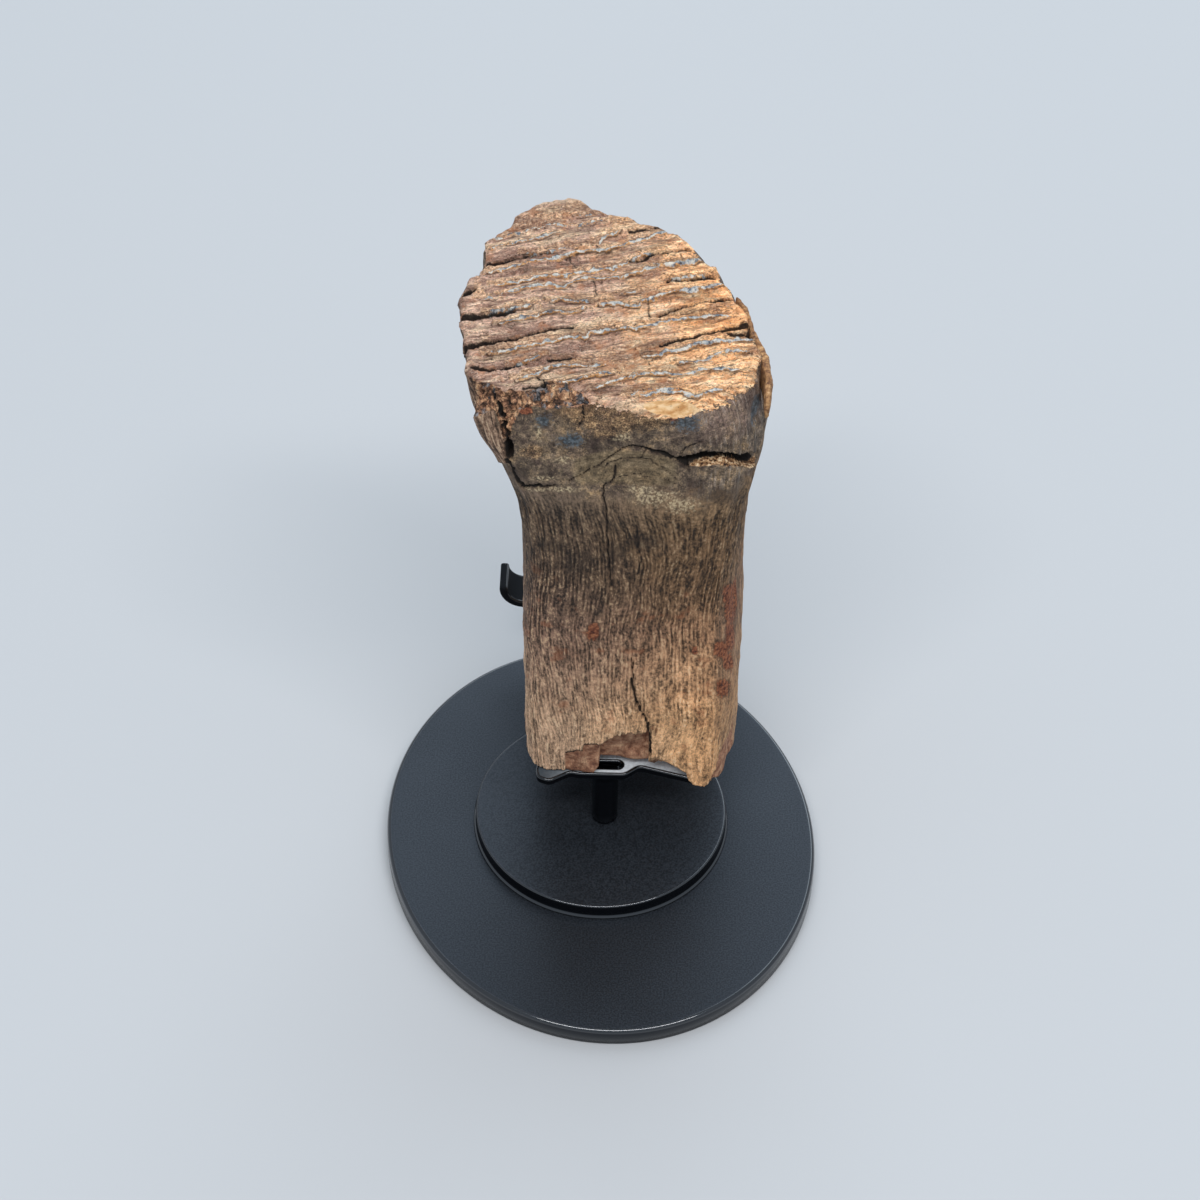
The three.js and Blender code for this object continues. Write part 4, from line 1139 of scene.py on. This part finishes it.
def wornColour(b, at, marks):
    x, y, z = b.parts(at)
    along, across = x * 0.98 + y * 0.19, y * 0.98 - x * 0.19
    wavy = across + swing(b.noise(at, 0.12, 2), 3)
    streak = b.noise(b.joined(along * 0.15, wavy * 0.72, z * 0.2), 1.0, 6, 0.68)
    thread = b.noise(b.joined(along * 0.75, wavy * 2.2, z * 0.5), 1.0, 4, 0.68)
    blotch = b.noise(at, 0.1, 4, 0.6)
    grit = b.noise(at, 1.1, 5, 0.72)
    mauve, orange = b.ramp(streak, wornColours["mauve"]), b.ramp(streak, wornColours["orange"])
    face = b.mix(b.fade(x + swing(blotch, 70), -16, 30), mauve, orange)
    crumbly = b.fade(marks["phase"] + swing(grit, 0.7), 0.5, 0.75)
    face = b.mix(crumbly * 0.55, face, b.ramp(grit, wornColours["crumbly"]))
    onLip = b.fade(marks["lip"] + swing(grit, 0.6), 0.3, 0.55)
    face = b.mix(onLip * 0.8, face, b.ramp(grit * 0.5 + thread * 0.5, wornColours["lip"]))

    # bands and threads along the plates, brighter to the right
    band = b.noise(b.joined(along * 0.035, wavy * 0.16, 5), 1.0, 4, 0.62)
    face = b.mix(b.fade(band, 0.48, 0.38) * 0.6, face, wornColours["darkBand"])
    face = b.mix(b.fade(band, 0.54, 0.64) * 0.5, face, wornColours["paleBand"])
    face = b.times(face, b.fade(thread, 0.32, 0.68, 0.56, 1.36) * b.fade(grit, 0.32, 0.68, 0.74, 1.22))
    face = b.times(face, b.fade(x, 2, 32, 1.0, 1.3) * b.fade(y, 14, 30, 1.0, 1.1))
    face = b.mix(b.fade(x, 5, 32) * b.fade(y, 10, 30), face, wornColours["cream"], "MULTIPLY")
    sand = b.noise(at, 1.9, 3, 0.7)
    face = b.mix(b.fade(sand, 0.57, 0.64) * 0.36, face, wornColours["paleSand"])
    face = b.mix(b.fade(sand, 0.43, 0.37) * 0.4, face, wornColours["darkSand"])
    thin = b.noise(b.joined(along * 0.12, wavy * 1.5, z * 0.2), 1.0, 5, 0.7)
    face = b.mix(b.fade(thin, 0.43, 0.37) * 0.75, face, wornColours["hollow"])
    gloom = b.fade(b.noise(b.joined(along * 0.05, across * 0.22, 0), 1.0, 4, 0.6), 0.5, 0.38)
    face = b.mix(gloom * 0.5, face, wornColours["gloom"])
    rosy = b.fade(b.noise(b.shifted(at, (0, 0, 60)), 0.16, 4, 0.65), 0.55, 0.66)
    face = b.mix(rosy * 0.45, face, wornColours["rosy"])
    face = b.mix(b.fade(y, 73, 78) * 0.25, face, wornColours["paintedSheen"])  # painted highlight: paler at the very back of the worn face
    face = b.mix(b.fade(b.noise(at, 0.9, 3), 0.62, 0.68) * 0.75, face, wornColours["hollow"])

    # enamel edges: a painted shadow beside them, a brown rim painted darker behind the edge as painted shade
    # and orange in front, then the enamel itself
    beside = b.fade(marks["enamel"], 0.5, 0.7) * b.fade(marks["enamel"], 1.5, 0.9)
    beside = beside * b.fade(marks["lip"], 0.1, 0.22) * b.fade(blotch, 0.36, 0.56)
    face = b.mix(beside * 0.85, face, wornColours["shadow"])
    jag = marks["enamel"] + swing(b.noise(at, 1.8, 3, 0.65), 1.5) + swing(b.noise(at, 0.5, 3, 0.6), 1.9)
    rim = b.fade(jag, marks["strength"] * 0.8 + 0.1, marks["strength"] * 0.5)
    rimTone = b.mix(b.fade(marks["lip"], 0.1, 0.3), wornColours["rimBackShade"], wornColours["rimFront"])
    face = b.mix(rim * 0.65, face, rimTone)
    bold = marks["strength"] * b.fade(x, 8, 30, 1.0, 1.3)
    edge = b.fade(jag, bold * 0.5 + 0.02, bold * 0.32 - 0.06)
    tint = b.noise(b.shifted(at, (9, 9, 9)), 0.45, 4, 0.65) + swing(thread, 0.25)
    face = b.mix(edge * 0.92, face, b.ramp(tint, wornColours["enamel"]))
    tint = b.noise(b.joined(along * 0.22, across * 0.55, 0), 1.0, 4) + swing(grit, 0.3)
    onOval = b.fade(marks["oval"] + swing(grit, 0.4), 0.35, 0.55)
    face = b.mix(onOval, face, b.ramp(tint, wornColours["oval"]))
    return face, streak, thread, grit, edge


# colours of the stains, chips and broken places, and of the painted shade in cracks and gaps
markColours = {
    "rust": [(0.38, "#431f15"), (0.5, "#854a31"), (0.62, "#b3754f")],
    "blue": [(0.38, "#1d262b"), (0.5, "#37434b"), (0.62, "#5f6c75")],
    "slab": [(0.4, "#281c14"), (0.47, "#5f4737"), (0.54, "#a2826a"), (0.62, "#d8bb9b")],
    "broken": [(0.34, "#6b4536"), (0.46, "#98694f"), (0.56, "#b8886a"), (0.68, "#d6aa86")],
    "granular": [(0.4, "#241610"), (0.46, "#6f4d33"), (0.53, "#bf9367"), (0.61, "#f5dcb6")],
    "rubble": [(0.38, "#2c1e15"), (0.44, "#664735"), (0.5, "#a07559"), (0.56, "#cb9c75"), (0.64, "#f0cda4")],
    "steel": [(0.38, "#343b42"), (0.6, "#8d959a")],
    "bark": [(0.38, "#4c3223"), (0.47, "#8f6544"), (0.55, "#c0905f"), (0.65, "#e6c090")],
    "paleDark": "#625341", "paleLight": "#d0bb96", "soot": "#2f251e", "rustHalo": "#3a2218",
    "slit": "#2a1f19", "crackHalo": "#3d2c22", "crack": "#110b08",
}


def markedWall(b, at, grain, marks, wall, grit, fine, ribTone):  # stains, chips and broken places
    ragged = swing(grit, 1.1) + swing(fine, 0.3)
    spread = b.fade(marks["pale"] + swing(grit, 3.0), -0.2, 0.7)
    fleck = b.fade(b.noise(at, 1.2, 4, 0.72), 0.46, 0.56)
    lower = b.fade(b.parts(at)[2], 150, 130)
    pale = b.mix(fleck, markColours["paleDark"], markColours["paleLight"])
    wall = b.mix(spread * (1 - lower) * b.blend(fleck, 0.5, 0.75), wall, pale)
    # painted light: the pale spots low on the root only brighten it; higher up they are pale mottling
    wall = b.times(wall, spread * lower * 0.35 + 1)
    wall = b.mix(b.fade(marks["soot"] + ragged * 1.2, 0.0, 0.6) * 0.5, wall, markColours["soot"])
    chipped = marks["rust"] + 0.1 + ragged * 1.15 + ribTone * 0.3
    wall = b.mix(b.fade(chipped, -0.4, -0.05) * 0.6, wall, markColours["rustHalo"])
    wall = b.mix(b.fade(chipped, -0.1, 0.1) * 0.9, wall, b.ramp(grit, markColours["rust"]))
    onBlue = b.fade(marks["blue"] + swing(grit, 2.4), -0.1, 0.6)
    wall = b.mix(onBlue * 0.85, wall, b.ramp(grit, markColours["blue"]))
    splinter = b.streaks(grain, (1.3, 1.3, 0.12), 4, 0.65)
    wall = b.mix(marks["slab"] * 0.9, wall, b.ramp(splinter * 0.65 + grit * 0.35, markColours["slab"]))
    broken = b.ramp(b.noise(at, 0.34, 5, 0.62), markColours["broken"])
    wall = b.mix(b.fade(marks["inner"], 0.3, 0.6), wall, b.times(broken, b.fade(fine, 0.3, 0.7, 0.8, 1.15)))
    granular = b.ramp(b.noise(at, 0.9, 5, 0.75), markColours["granular"])
    return b.mix(b.fade(marks["ledge"] + swing(grit, 0.6), 0.3, 0.6), wall, granular), ragged, broken


def rubbleColour(b, at, grit, fine):  # crumbled lumps with painted shade in the gaps between them, and a few grey ones
    bent = b.shifted(at, b.times(b.noise(at, 0.4, 4, 0.65, 0.0, 1), 4.0))
    rubble = b.ramp(b.noise(bent, 0.24, 5, 0.68) * 0.6 + grit * 0.4, markColours["rubble"])
    steel = b.fade(b.streaks(b.shifted(at, (17, 0, 0)), (0.3, 0.3, 0.1), 4), 0.56, 0.62)
    rubble = b.mix(steel * 0.75, rubble, b.ramp(grit, markColours["steel"]))
    gapShade = b.fade(b.cells(bent, 0.3), 0.01, 0.12, 0.28, 1.12)
    return b.times(rubble, gapShade * b.fade(fine, 0.32, 0.68, 0.7, 1.3))


def toothMaterial():
    material, b = newMaterial("fossilMolar")
    at = objectMm(b)
    grain = b.attribute("grain", 1)
    around = b.parts(b.node("ShaderNodeUVMap", {"uv_map": "roots"}))[0]
    marks = {name: b.attribute(name) for name in [*wallMarks, *topMarks, "under", "flake"]}
    hide, rib, fibre, speck, ribbed = rootColour(b, at, grain, around)
    wall, grit, fine = crownColour(b, at, grain, marks, hide)
    wall, ragged, broken = markedWall(b, at, grain, marks, wall, grit, fine, (rib - 0.5) * ribbed)
    face, streak, thread, faceGrit, enamel = wornColour(b, at, marks)

    chips = swing(b.noise(at, 0.55, 5, 0.75), 3.4)
    onFace = b.fade(marks["worn"] + chips, 0.35, 0.5) * b.fade(marks["worn"], 0.0, 0.1)
    colour = b.mix(onFace, wall, face)
    colour = b.mix(b.fade(marks["crumb"] + ragged * 0.5, 0.3, 0.6), colour, rubbleColour(b, at, grit, fine))
    colour = b.mix(b.fade(marks["slit"], 0.35, 0.8) * 0.8, colour, markColours["slit"])
    colour = b.mix(marks["flake"] * 0.9, colour, b.ramp(grit * 0.5 + streak * 0.5, markColours["bark"]))
    colour = b.mix(marks["under"] * 0.8, colour, b.times(broken, 0.8))
    # painted shade: the cracks, the back of the gap under the crown and the broken edge of the foot are
    # painted near black, with a dark halo beside them
    crack = b.fade(marks["edge"] + swing(fine, 0.5), 0.26, 0.04)
    haloShade = b.fade(marks["edge"] + swing(grit, 0.8), 0.7, 0.1)
    colour = b.mix(haloShade * 0.35, colour, markColours["crackHalo"])
    colour = b.mix(crack * 0.94, colour, markColours["crack"])

    wallHeight = (rib * 0.4 + fibre * 0.3 + speck * 0.5) * ribbed + grit * 0.45 + fine * 0.16
    faceHeight = b.fade(streak, 0.3, 0.7) * 0.4 + thread * 0.45 + faceGrit * 0.5 + enamel * 0.2
    normal = bump(b, b.blend(onFace, wallHeight, faceHeight), 1.0, 0.9 * mm)
    gleam = b.blend(onFace * enamel, 0.78, 0.42)
    finishShader(b, {"Base Color": colour, "Roughness": gleam, "Normal": normal, "Specular IOR Level": 0.35})
    return material


def blackMaterial(name, look):  # one black finish in two painted tones: flat faces painted greyer as painted sheen, turned and cut edges near black as painted shade; the flat faces are also duller
    material, b = newMaterial(name)
    at = objectMm(b)
    peel = b.noise(at, 1 / look["grain"], 3, 0.6)
    drift = b.noise(at, 0.02, 3)
    dust = b.fade(b.noise(at, 0.8, 2), 0.74, 0.8)
    flat, face = b.attribute("flat"), look["face"]
    roughness = b.blend(flat, look["edgeRoughness"], look["faceRoughness"])
    roughness = roughness * b.fade(drift, 0.3, 0.7, 0.93, 1.07)
    if "hub" in look:  # painted sheen: the sheet's flat top is painted paler round the hub, as reflected light; its rear arm stays black and dull
        x, y, z = b.parts(at)
        paintedSheen = b.fade(x, -22, 4) * b.fade(x, 34, 24) * b.fade(y, 12, 6)
        rearArm = b.fade(z + b.fade(y, 30, 40) * 10, look["flatTop"], look["flatTop"] + 2)
        face = b.mix(paintedSheen, face, look["hub"])
        flat = flat * (1 - rearArm)
        roughness = b.blend(rearArm, roughness, 0.8)
    # painted sheen and shade: flat faces take the greyer face colour, everything else the near-black edge
    # colour
    shade = b.mix(flat, look["edge"], face)
    speckle = b.fade(peel, 0.36, 0.64, 1 - look["speckle"], 1 + look["speckle"])
    shade = b.times(shade, speckle * b.fade(drift, 0.3, 0.7, 0.9, 1.1))
    shade = b.mix(dust * 0.2, shade, look["dust"])
    finishShader(b, {"Base Color": shade, "Roughness": roughness, "Specular IOR Level": look["gleam"],
                     "Specular Tint": paint(look["tint"]), "Coat Weight": b.attribute("round"),
                     "Coat Roughness": 0.06, "Coat IOR": look["coatIor"],
                     "Normal": bump(b, peel, 0.6, look["height"] * mm)})
    return material


# "flat" marks the top face, "round" the rounding beside it and the bead at the foot
def markFlat(piece, level, curve, bead=0.0):
    heights = np.array([v.co.z for v in piece.data.vertices]) / mm
    flat = heights > level - 0.01
    store(piece, "flat", [flat])
    store(piece, "round", [((heights > level - curve) & ~flat) | (heights < heights.min() + bead)])
    return piece


def roundPlace(node):  # radius, centre, underside and top of an upright round node
    low, high = boxMm(node)
    return (high.x - low.x) / 2, (high.x + low.x) / 2, (high.y + low.y) / 2, low.z, high.z


# finish of the two discs, with its grain and the height of that grain in millimetres; its greyer face colour
# is painted sheen on the flat tops and its near-black edge colour painted shade
satinBlack = {
    "edge": "#030304", "face": "#1e2125", "dust": "#4c4c4a", "edgeRoughness": 0.2, "faceRoughness": 0.46,
    "speckle": 0.62, "gleam": 0.43, "tint": "#dcebff", "grain": 0.6, "height": 0.04, "coatIor": 1.65,
}

# half width and half depth of the oval foot, and how far it is turned on its foot
disc = {"half": (75.96, 88.96), "turnDeg": 11.0, "topRound": 1.5, "footChamfer": 0.6, "sides": 240}


def discPiece(material):  # turned as a round disc, then drawn out into an oval and turned on its foot
    _, _, _, bottom, top = roundPlace("base_disc")
    halfWidth, halfDepth = disc["half"]
    chamfer, curve = disc["footChamfer"], disc["topRound"]
    profile = [(20, bottom), (halfWidth - 3, bottom), (halfWidth - chamfer, bottom)]
    profile += [(halfWidth, bottom + chamfer)]
    profile += arcPoints(halfWidth - curve, top - curve, curve, 0, 90, 8)
    profile += [(halfWidth - curve - 1.5, top), (60, top), (30, top), (8, top)]
    rings = turnedPoints(profile, disc["sides"])
    radius = np.array(profile)[:, :1]
    stretch = (halfDepth - halfWidth + radius) / radius
    rings[..., 1] *= np.where(radius > halfWidth / 3, stretch, 1)
    turn = math.radians(disc["turnDeg"])
    x, y = rings[..., 0].copy(), rings[..., 1].copy()
    rings[..., 0] = x * math.cos(turn) - y * math.sin(turn)
    rings[..., 1] = x * math.sin(turn) + y * math.cos(turn)
    return markFlat(newPiece("oval_foot", *closeTurned(rings), material), top, curve)


# the round disc on the foot, with a small bead round its lower edge
riser = {"topRound": 0.7, "footBead": 0.9, "sides": 240}


def riserPiece(material):
    radius, cx, cy, bottom, top = roundPlace("riser_disc")
    curve, bead = riser["topRound"], riser["footBead"]
    profile = [(10, bottom), (radius - 1, bottom), (radius + bead * 0.9, bottom)]
    profile += [(radius + bead, bottom + 0.15), (radius + bead * 0.75, bottom + 0.45)]
    profile += [(radius + bead * 0.3, bottom + 0.7), (radius, bottom + 1.1)]
    profile += arcPoints(radius - curve, top - curve, curve, 0, 90, 6)
    profile += [(radius - curve - 1.2, top), (30, top), (8, top)]
    rings = turnedPoints(profile, riser["sides"], cx, cy)
    return markFlat(newPiece("round_riser", *closeTurned(rings), material), top, curve, 0.8)


# finish of the post: smooth gloss black
glossBlack = {
    "edge": "#020203", "face": "#050506", "dust": "#4c4c4a", "edgeRoughness": 0.13, "faceRoughness": 0.2,
    "speckle": 0.5, "gleam": 0.3, "tint": "#e6f0ff", "grain": 1.4, "height": 0.012, "coatIor": 1.5,
}

post = {"chamfer": 0.5, "sides": 64}


def postPiece(material):
    radius, cx, cy, bottom, top = roundPlace("post")
    chamfer = post["chamfer"]
    profile = [(1, bottom), (radius - chamfer, bottom), (radius, bottom + chamfer), (radius, bottom + 4)]
    profile += [(radius, top - 4), (radius, top - chamfer), (radius - chamfer, top), (1, top)]
    rings = turnedPoints(profile, post["sides"], cx, cy)
    return markFlat(newPiece("post_rod", *closeTurned(rings), material), top, chamfer)


def roundedOutline(corners, radius, steps=6):  # a ring of points with its corners rounded
    corners = np.array(corners, float)
    ring = []
    for i, corner in enumerate(corners):
        before, after = corners[i - 1] - corner, corners[(i + 1) % len(corners)] - corner
        reach = min(radius, 0.45 * np.linalg.norm(before), 0.45 * np.linalg.norm(after))
        start = corner + before / np.linalg.norm(before) * reach
        end = corner + after / np.linalg.norm(after) * reach
        for t in np.linspace(0, 1, steps):
            ring.append((1 - t) ** 2 * start + 2 * t * (1 - t) * corner + t ** 2 * end)
    return np.array(ring)


def spacedRing(ring, pitch):  # the same ring with points no further apart than pitch
    made = []
    for a, b in zip(ring, np.roll(ring, -1, 0)):
        count = max(1, int(math.ceil(np.linalg.norm(b - a) / pitch)))
        made += [a + (b - a) * i / count for i in range(count)]
    return np.array(made)


def insetRing(ring, amount):  # counter-clockwise ring moved inwards
    along = np.roll(ring, -1, 0) - np.roll(ring, 1, 0)
    inward = np.stack([-along[:, 1], along[:, 0]], -1)
    return ring + inward / np.linalg.norm(inward, axis=1, keepdims=True) * amount


# flat cut sheet with one hole and rounded edges, z from 0; also which points are flat and which rounded
def sheetSolid(outline, hole, thickness, edgeRound):
    profile = [(edgeRound + 0.35, 0), (edgeRound, 0)]
    profile += [(edgeRound * (1 - math.sin(a)), edgeRound * (1 - math.cos(a)))
                for a in np.linspace(0.3, math.pi / 2, 4)]
    profile += [(inset, thickness - z) for inset, z in reversed(profile)]
    points, faces, rims, lowStarts, topStarts = [], [], [], [], []
    for ring, sign in ((outline, 1), (hole, -1)):
        start = len(points)
        for inset, z in profile:
            points += [(*p, z) for p in insetRing(ring, inset * sign)]
        strip = gridFaces(len(profile), len(ring), start)
        faces += strip if sign > 0 else [face[::-1] for face in strip]
        rims.append(insetRing(ring, profile[0][0] * sign))
        lowStarts.append(start)
        topStarts.append(len(points) - len(ring))

    inner, _ = insetGrid(rims[0], 2.2, 2.2, 1.1, 3)
    away, _ = nearPath(inner, np.concatenate([rims[1], rims[1][:1]]))
    inner = inner[(away > 1.0) & ~insideOf(inner, rims[1])]
    fill = fillOutline(rims[0], inner, rims[1:])
    for z, starts, flip in ((0, lowStarts, True), (thickness, topStarts, False)):
        ids = [start + i for start, rim in zip(starts, rims) for i in range(len(rim))]
        ids += range(len(points), len(points) + len(inner))
        points += [(*p, z) for p in inner]
        made = np.array(ids)[fill]
        faces += (made[:, ::-1] if flip else made).tolist()

    flat, rounding = np.zeros(len(points)), np.zeros(len(points))
    for low, top, rim in zip(lowStarts, topStarts, rims):
        flat[low:low + len(rim)] = 1
        flat[top:top + len(rim)] = 1
        rounding[top - 4 * len(rim):top] = 1
    flat[len(points) - 2 * len(inner):] = 1
    return np.array(points), faces, flat, rounding


# the sheet before its ends are bent up: its arms are outlines (x, y) round from the front of the hub
cradle = {
    "thickness": 3.0, "edgeRound": 0.75, "cornerRound": 1.6, "pitch": 1.2,
    "spineX": (-5.5, 9.5), "armDepth": 14.0, "fingerBend": 9.0,
    "rightArm": [(-8, -5.2), (8, -5.2), (13, -1.2), (33, -6.7), (37.5, -4.6), (39, 2), (14, 9)],
    "leftArm": [(-12, 6), (-22, 1), (-23.2, -3.4), (-22.5, -7.1), (-18.2, -8.8), (-11, -4.5)],
    "slotReach": 5.4, "slotY": -0.6, "slotRadius": 1.6,
}

# finish of the sheet: gloss black edges, and a flat top painted greyer as painted sheen from flatTop down,
# with the hub colour a paler painted reflection
sheetBlack = {
    "edge": "#020203", "face": "#434a50", "hub": "#d4dadf", "dust": "#4c4c4a", "edgeRoughness": 0.14,
    "faceRoughness": 0.3, "speckle": 0.1, "gleam": 0.28, "tint": "#e6f0ff", "grain": 1.2, "height": 0.01,
    "coatIor": 1.5, "flatTop": boxMm("cradle_plate")[0].z + cradle["thickness"] + 0.1,
}


def cradlePiece(material):
    low, high = boxMm("cradle_plate")
    thickness, outerBend = cradle["thickness"], cradle["fingerBend"]
    bend = outerBend - thickness / 2  # radius of the sheet's middle line
    arc = bend * math.pi / 2
    rise = high.z - low.z - outerBend
    leftBend, rightBend = low.x + outerBend, high.x - outerBend
    flatLeft, flatRight = leftBend - arc - rise, rightBend + arc + rise
    armFront, armBack = high.y - cradle["armDepth"], high.y
    spineLeft, spineRight = cradle["spineX"]
    outline = [*cradle["rightArm"], (spineRight, 16), (spineRight, armFront), (flatRight, armFront),
               (flatRight, armBack), (flatLeft, armBack), (flatLeft, armFront), (spineLeft, armFront),
               (spineLeft, 15), *cradle["leftArm"]]
    ring = spacedRing(roundedOutline(outline, cradle["cornerRound"]), cradle["pitch"])
    slot = []
    for cx, start in ((cradle["slotReach"], -90), (-cradle["slotReach"], 90)):
        slot += arcPoints(cx, cradle["slotY"], cradle["slotRadius"], start, start + 180, 8)
    slot = spacedRing(np.array(slot), cradle["pitch"])
    points, faces, flat, rounding = sheetSolid(ring, slot, thickness, cradle["edgeRound"])
    for side, start in ((-1, leftBend), (1, rightBend)):  # fold both ends of the cross arm up
        over = (points[:, 0] - start) * side
        folds = (over > 0) & (points[:, 1] > armFront - 1)
        turn = np.clip(over / bend, 0, math.pi / 2)
        radius = outerBend - points[:, 2]
        foldedX = start + side * radius * np.sin(turn)
        foldedZ = outerBend - radius * np.cos(turn) + np.maximum(over - arc, 0)
        points[:, 0] = np.where(folds, foldedX, points[:, 0])
        points[:, 2] = np.where(folds, foldedZ, points[:, 2])
    points[:, 2] += low.z
    piece = newPiece("cradle_sheet", points, faces, material)
    store(piece, "flat", [flat])
    store(piece, "round", [rounding])
    return piece


# the studio: sizes in metres, the camera's place in millimetres
room = {
    "floorSize": 9.0, "floorColour": "#c4c6c8", "aim": (0, 0.02, 0.1),
    "lens": 90.0, "eye": (0.0, -685.15, 837.21), "panDeg": -0.16565542, "tiltDeg": 46.10211823,
    "rollDeg": 1.26819068,
    "skyColour": "#dfeaf6", "skyStrength": 0.62,
}

# soft panels: place, width and height in metres, power, colour
panels = {
    "keyPanel": ((0.15, -1.3, 2.5), (2.9, 0.3), 46.0, (1.0, 0.98, 0.97)),
    "backPanel": ((0.35, 1.9, 2.0), (2.2, 2.2), 34.0, (0.82, 0.92, 1.0)),
}


def buildFloor():
    material, b = newMaterial("paleFloor")
    finishShader(b, {"Base Color": paint(room["floorColour"]), "Roughness": 0.9})
    half = room["floorSize"] / 2 / mm
    floor = newPiece("floor", [(-half, -half, 0), (half, -half, 0), (half, half, 0), (-half, half, 0)],
                     [[0, 1, 2, 3]], material)


def buildLights():
    for name, (place, size, power, colour) in panels.items():
        light = bpy.data.lights.new(name, "AREA")
        light.shape = "RECTANGLE"
        light.size, light.size_y = size
        light.energy = power
        light.color = colour
        lamp = bpy.data.objects.new(name, light)
        lamp.location = place
        aim = Vector(room["aim"]) - lamp.location
        lamp.rotation_euler = aim.to_track_quat("-Z", "Y").to_euler()
        scene.collection.objects.link(lamp)
    world = bpy.data.worlds.new("paleSky")
    world.use_nodes = True
    sky = world.node_tree.nodes["Background"]
    sky.inputs["Color"].default_value = paint(room["skyColour"])
    sky.inputs["Strength"].default_value = room["skyStrength"]
    scene.world = world
    scene.view_settings.view_transform = "Standard"


def buildCamera():
    data = bpy.data.cameras.new("viewer")
    data.lens = room["lens"]
    data.sensor_width = 36
    data.clip_start, data.clip_end = 0.05, 50
    pan, tilt, roll = [math.radians(room[k]) for k in ("panDeg", "tiltDeg", "rollDeg")]
    ahead = Vector((math.sin(pan) * math.cos(tilt), math.cos(pan) * math.cos(tilt), -math.sin(tilt)))
    level = Vector((math.cos(pan), -math.sin(pan), 0))
    lift = level.cross(ahead)
    across = level * math.cos(roll) + lift * math.sin(roll)
    upward = lift * math.cos(roll) - level * math.sin(roll)
    camera = bpy.data.objects.new("viewer", data)
    axes = Matrix((across, upward, -ahead)).transposed()
    camera.matrix_world = Matrix.Translation(Vector(room["eye"]) * mm) @ axes.to_4x4()
    scene.collection.objects.link(camera)
    scene.camera = camera


buildCamera()
buildFloor()
buildLights()
print("room ready")

satin = blackMaterial("satinBlack", satinBlack)
pieces = [
    (discPiece(satin), "base_disc", "satin_black"),
    (riserPiece(satin), "riser_disc", "satin_black"),
    (postPiece(blackMaterial("glossBlack", glossBlack)), "post", "gloss_black"),
    (cradlePiece(blackMaterial("sheetBlack", sheetBlack)), "cradle_plate", "gloss_black"),
]
print("stand ready")
pieces.append((toothMesh(toothMaterial()), "tooth", "fossil_tooth"))
for piece, node, slot in pieces:
    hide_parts(node)
    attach(piece, "root")
print("pieces placed")
